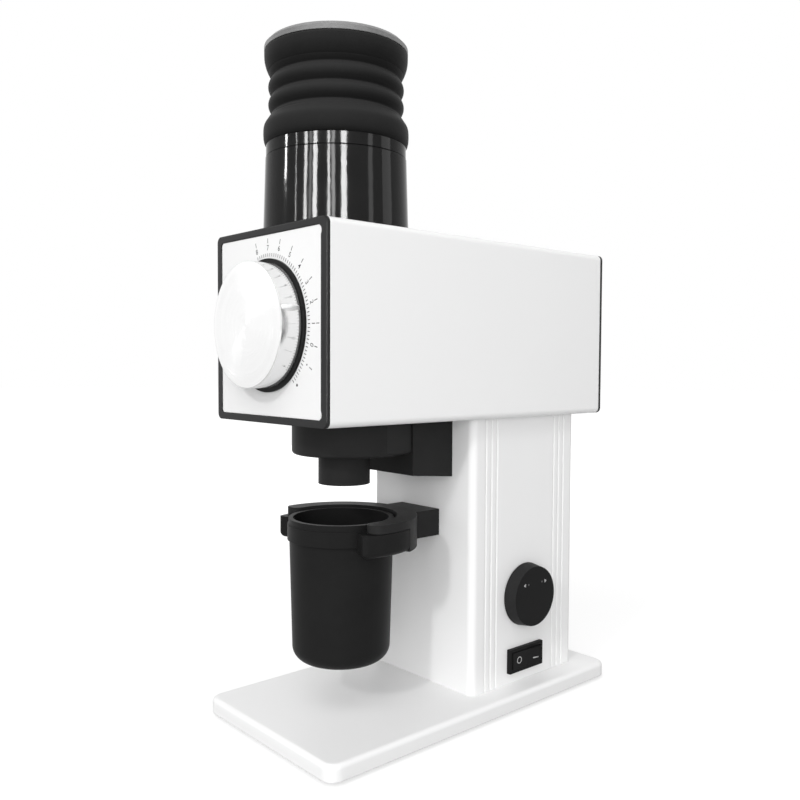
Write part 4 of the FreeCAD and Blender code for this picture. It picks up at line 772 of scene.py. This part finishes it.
class GRINDER_OT_flutes(Operator):
    """Slope the floors of the grooves down the column's sides"""

    bl_idname = "grinder.flutes"
    bl_label = "Slope the column's grooves"

    def execute(self, context):
        sizes = context.scene.grinder_flutes
        low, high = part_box("column_shell")
        rows = range(sizes.count)
        places = [low.y + sizes.front_inset + row * sizes.pitch for row in rows]
        places += [high.y - sizes.rear_inset - row * sizes.pitch for row in rows]
        slopes = bmesh.new()
        for wall, inwards in ((low.x, 1), (high.x, -1)):
            floor = wall + inwards * (sizes.depth + sizes.bury)
            for place in places:
                start = place - sizes.width / 2 + sizes.heel
                end = place + sizes.width / 2 + sizes.bury
                section = slopes.faces.new([
                    slopes.verts.new((across, depth, low.z)) for across, depth in (
                        (floor, start), (wall + inwards * sizes.bury, end), (floor, end))])
                grown = bmesh.ops.extrude_face_region(slopes, geom=[section])["geom"]
                tops = [part for part in grown if isinstance(part, bmesh.types.BMVert)]
                bmesh.ops.translate(slopes, verts=tops, vec=(0, 0, high.z - low.z))
        enamel = context.scene.grinder_colours.enamel
        coat = enamel_finish("flute_coat", enamel, rough=0.4, peel=0.08, level=0.3, edge=0.0001)
        made = piece("column_flutes", slopes, coat, "stand")
        sharpen(made, degrees=30)
        return {"FINISHED"}


class GRINDER_OT_sockets(Operator):
    """Paint hexagons of shade on the rear screws where their sockets would be"""

    bl_idname = "grinder.sockets"
    bl_label = "Mark the screw sockets"

    def execute(self, context):
        sizes = context.scene.grinder_print
        low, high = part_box("rear_cap_screws")
        shadow = bpy.data.materials["seam_shadow"]
        sockets = bmesh.new()
        for across in (low.x + sizes.screw_radius, high.x - sizes.screw_radius):
            for height in (low.z + sizes.screw_radius, high.z - sizes.screw_radius):
                # Painted shade: flat dark hexagons stand for the shade inside the sockets.
                spot = Matrix.Translation((across, high.y, height)) @ FACING_BACK
                disc(sockets, sizes.socket_radius, sizes.raise_height, spot, segments=6)
        piece("screw_socket_shade", sockets, shadow, "stand")
        return {"FINISHED"}


class GRINDER_OT_scale(Operator):
    """Print the scale of numbers and ticks around the dial"""

    bl_idname = "grinder.scale"
    bl_label = "Print the dial's scale"

    def execute(self, context):
        sizes = context.scene.grinder_print
        ink = ink_finish("scale_ink", context.scene.grinder_colours.ink, rough=0.55)
        depth = sizes.raise_height
        numbers = bmesh.new()
        ticks = bmesh.new()
        for place, text in enumerate(SCALE_NUMBERS):
            spot = on_plate(SCALE_START + SCALE_STEP * place, sizes.number_radius)
            glyph(numbers, text, sizes.number_height, depth, spot)
        last = len(SCALE_NUMBERS)
        spot = on_plate(SCALE_START + SCALE_STEP * last, sizes.number_radius)
        disc(numbers, sizes.dot_radius * SMALL_DOT, depth, spot)
        disc(numbers, sizes.dot_radius, depth, on_plate(DOT_ANGLE, sizes.number_radius))
        for place in range(last + 1):
            spot = on_plate(SCALE_START + SCALE_STEP * place, sizes.long_tick_radius)
            bar(ticks, sizes.tick_width, sizes.long_tick, depth, spot)
        for place in range(sizes.fine_ticks + 1):
            spot = on_plate(SCALE_START + SCALE_STEP / FINE_PER_STEP * place, sizes.fine_tick_radius)
            bar(ticks, sizes.tick_width, sizes.fine_tick, depth, spot)
        piece("scale_numbers", numbers, ink, "stand")
        piece("scale_ticks", ticks, ink, "stand")
        return {"FINISHED"}


class GRINDER_OT_marks(Operator):
    """Paint the marks of the speed knob and the switch, and the dial's pointer, whose white is partly a painted
    highlight
    """

    bl_idname = "grinder.marks"
    bl_label = "Paint the marks"

    def knob(self, sizes, paint, faint):
        """Two arrows with a faint dot beside each."""
        arrows = bmesh.new()
        dots = bmesh.new()
        for way in (-1, 1):
            place = (KNOB_FACE, KNOB.y + way * sizes.arrow_reach, KNOB.z + sizes.arrow_rise)
            spot = Matrix.Translation(place) @ FACING_RIGHT
            turned = spot @ Matrix.Rotation(-way * math.pi / 2, 4, "Z")
            disc(arrows, sizes.arrow_radius, sizes.depth, turned, segments=3)
            beside = spot @ Matrix.Translation((-way * sizes.dot_gap, 0, 0))
            bar(dots, sizes.dot_width, sizes.dot_height, sizes.depth, beside)
        piece("knob_arrows", arrows, paint, "speed_knob")
        piece("knob_dots", dots, faint, "speed_knob")

    def switch(self, sizes, paint):
        """Circle for off and dash for on."""
        low, high = -sizes.depth / 2, sizes.depth / 2
        circle = lathe([
            (sizes.off_inside, low), (sizes.off_outside, low),
            (sizes.off_outside, high), (sizes.off_inside, high),
        ], Vector((0, 0, 0)), CIRCLE_STEPS)
        bmesh.ops.transform(circle, matrix=on_rocker(sizes, -1, sizes.off_reach), verts=circle.verts[:])
        piece("switch_off_mark", circle, paint, "rocker")
        dash = bmesh.new()
        spot = on_rocker(sizes, 1, sizes.on_reach, sizes.on_drop)
        bar(dash, sizes.dash_length, sizes.dash_width, sizes.depth, spot)
        piece("switch_on_mark", dash, paint, "rocker")

    def pointer(self, sizes, paint):
        """White pointer line along the dial's flank, partly a painted highlight."""
        line = bmesh.new()
        run = DIAL_HIGH.y - DIAL_LOW.y - sizes.pointer_short
        radius = (DIAL_HIGH.x - DIAL_LOW.x) / 2
        spot = Matrix.Translation((DIAL.x, DIAL.y + sizes.pointer_shift, DIAL.z))
        spot = spot @ Matrix.Rotation(sizes.pointer_angle, 4, "Y")
        spot = spot @ Matrix.Translation((0, 0, radius - sizes.pointer_sink))
        bar(line, sizes.pointer_width, run, sizes.pointer_height, spot)
        piece("dial_pointer_highlight", line, paint, "dial")

    def execute(self, context):
        sizes = context.scene.grinder_marks
        tones = context.scene.grinder_colours
        paint = ink_finish("mark_paint", tones.mark, rough=0.4)
        faint = ink_finish("faint_paint", shade(tones.mark, 0.2), rough=0.4)
        # Partly painted highlight: the pointer's white band lies where a highlight falls on the flank.
        white = ink_finish("pointer_highlight_paint", tones.pointer, rough=0.4)
        self.knob(sizes, paint, faint)
        self.switch(sizes, paint)
        self.pointer(sizes, white)
        return {"FINISHED"}


class GRINDER_OT_stage(Operator):
    """Set up the floor, the light and the camera"""

    bl_idname = "grinder.stage"
    bl_label = "Set the stage"

    def floor(self, context):
        """Pale floor that shows white around the object and keeps its shadow."""
        mesh = bmesh.new()
        bmesh.ops.create_circle(mesh, cap_ends=True, segments=RING_STEPS, radius=FLOOR_RADIUS)
        data = bpy.data.meshes.new("floor")
        mesh.to_mesh(data)
        mesh.free()
        floor = bpy.data.objects.new("floor", data)
        context.scene.collection.objects.link(floor)
        material = bpy.data.materials.new("pale_floor")
        material.use_nodes = True
        paper = Graph(material.node_tree)
        seen = self.seen(paper)
        matt = paper.node("ShaderNodeBsdfDiffuse", None, {"Color": (FLOOR_GREY, FLOOR_GREY, FLOOR_GREY, 1)})
        place = paper.node("ShaderNodeTexCoord", output="Object")
        distance = paper.node("ShaderNodeVectorMath", {"operation": "LENGTH"}, {0: place}, "Value")
        far = paper.node(
            "ShaderNodeMapRange", {"interpolation_type": "SMOOTHSTEP"},
            {"Value": distance, "From Min": GLOW_START, "From Max": GLOW_END})
        strength = seen * (far * GLOW_GAIN + GLOW) - self.ray(paper, "Is Glossy Ray") * GLOW_LOSS
        glow = paper.node("ShaderNodeEmission", None, {"Color": (1, 1, 1, 1), "Strength": strength})
        both = paper.node("ShaderNodeAddShader", None, {0: matt, 1: glow})
        output = material.node_tree.nodes.new("ShaderNodeOutputMaterial")
        material.node_tree.links.new(both.socket, output.inputs["Surface"])
        floor.data.materials.append(material)

    def seen(self, graph):
        """One for rays that show the background, in the picture, in a reflection or through glass."""
        camera, glossy, through = (
            self.ray(graph, kind) for kind in ("Is Camera Ray", "Is Glossy Ray", "Is Transmission Ray"))
        return graph.maths("MAXIMUM", graph.maths("MAXIMUM", camera, glossy), through)

    def ray(self, graph, kind):
        """One for rays of a kind."""
        return graph.node("ShaderNodeLightPath", output=kind)

    def sky(self, context):
        """White surroundings that give less light than they show."""
        world = bpy.data.worlds.new("studio")
        world.use_nodes = True
        context.scene.world = world
        air = Graph(world.node_tree)
        ambient = context.scene.grinder_stage.ambient
        strength = self.seen(air) * (1 - ambient) + ambient
        back = air.node("ShaderNodeBackground", None, {"Color": (1, 1, 1, 1), "Strength": strength})
        output = world.node_tree.nodes.new("ShaderNodeOutputWorld")
        world.node_tree.links.new(back.socket, output.inputs["Surface"])

    def lamp(self, context, name, place, target, size, radiance, shown_on=None):
        """Rectangular lamp that faces a target and lights everything, or is mirrored in one solid."""
        width, height = size
        light = bpy.data.lights.new(name, "AREA")
        light.shape = "RECTANGLE"
        light.size = width
        light.size_y = height
        light.energy = LAMP_POWER * width * height * radiance
        made = bpy.data.objects.new(name, light)
        made.location = place
        made.rotation_euler = (Vector(target) - Vector(place)).to_track_quat("-Z", "Y").to_euler()
        made.visible_camera = False
        made.visible_glossy = shown_on is not None
        made.visible_diffuse = shown_on is None
        if shown_on:
            mirror = bpy.data.collections.new(name)
            mirror.objects.link(frame["nodes"][shown_on])
            made.light_linking.receiver_collection = mirror
        context.scene.collection.objects.link(made)

    def light(self, context):
        """Softboxes, and lamps that draw streaks on the hopper, fans on the dial and a line on the bezel."""
        for name, place, level, side, radiance in SOFTBOXES:
            self.lamp(context, name, place, (0, 0, level), (side, side), radiance)
        for degrees, width, low, high, radiance in STREAKS:
            turn = math.radians(degrees)
            target = Vector((HOPPER.x, HOPPER.y, (low + high) / 2))
            place = target + STREAK_DISTANCE * Vector((math.sin(turn), -math.cos(turn), 0))
            self.lamp(context, "streak_lamp", place, target, (width, high - low), radiance, "hopper_tube")
        for way, size, radiance in FANS:
            place = DIAL + FAN_DISTANCE * Vector(way).normalized()
            self.lamp(context, "fan_lamp", place, DIAL, size, radiance, "dial_knob")
        edge = Vector((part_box("front_bezel")[1].x, PLATE_FRONT, DIAL.z))
        turn = math.radians(EDGE_ANGLE)
        place = edge + EDGE_DISTANCE * Vector((math.sin(turn), -math.cos(turn), 0))
        self.lamp(context, "edge_lamp", place, edge, EDGE_SIZE, EDGE_RADIANCE, "front_bezel")

    def camera(self, context):
        """Camera at the photograph's place."""
        stage = context.scene.grinder_stage
        turn, rise = stage.azimuth, stage.elevation
        back = Vector((math.sin(turn) * math.cos(rise), -math.cos(turn) * math.cos(rise), math.sin(rise)))
        right = (-back).cross(Vector((0, 0, 1))).normalized()
        up = right.cross(-back)
        lean = Matrix.Rotation(stage.roll, 3, back)
        lens = bpy.data.cameras.new("camera")
        lens.lens = stage.lens
        lens.sensor_width = SENSOR_WIDTH
        lens.clip_start = CLIP_START
        made = bpy.data.objects.new("camera", lens)
        axes = Matrix((lean @ right, lean @ up, back)).transposed().to_4x4()
        made.matrix_world = Matrix.Translation(stage.camera_place) @ axes
        context.scene.collection.objects.link(made)
        context.scene.camera = made

    def execute(self, context):
        context.scene.view_settings.view_transform = "Standard"
        self.floor(context)
        self.sky(context)
        self.light(context)
        self.camera(context)
        return {"FINISHED"}


class GRINDER_PT_panel(Panel):
    """Steps that dress the grinder, with their sizes and colours"""

    bl_idname = "GRINDER_PT_panel"
    bl_label = "Grinder"
    bl_space_type = "VIEW_3D"
    bl_region_type = "UI"
    bl_category = "Grinder"

    def draw(self, context):
        for step in STEPS:
            self.layout.operator(step.bl_idname)
        for group in GROUPS:
            settings = getattr(context.scene, group)
            for name in settings.__annotations__:
                self.layout.prop(settings, name)


STEPS = (
    GRINDER_OT_paint, GRINDER_OT_bellows, GRINDER_OT_seam, GRINDER_OT_flutes, GRINDER_OT_sockets,
    GRINDER_OT_scale, GRINDER_OT_marks, GRINDER_OT_stage)
GROUPS = {
    "grinder_colours": GrinderColours,
    "grinder_bellows": BellowsSizes,
    "grinder_flutes": FluteSizes,
    "grinder_print": PrintSizes,
    "grinder_marks": MarkSizes,
    "grinder_stage": StageSettings,
}


def register():
    """Make the classes and their settings known."""
    for kind in (*GROUPS.values(), *STEPS, GRINDER_PT_panel):
        bpy.utils.register_class(kind)
    for name, kind in GROUPS.items():
        setattr(bpy.types.Scene, name, PointerProperty(type=kind))


def unregister():
    """Forget the settings and the classes."""
    for name in GROUPS:
        delattr(bpy.types.Scene, name)
    for kind in reversed((*GROUPS.values(), *STEPS, GRINDER_PT_panel)):
        bpy.utils.unregister_class(kind)


def main():
    """Dress the grinder."""
    register()
    bpy.ops.grinder.paint()
    bpy.ops.grinder.bellows()
    bpy.ops.grinder.seam()
    bpy.ops.grinder.flutes()
    bpy.ops.grinder.sockets()
    bpy.ops.grinder.scale()
    bpy.ops.grinder.marks()
    bpy.ops.grinder.stage()


if __name__ == "__main__":
    main()
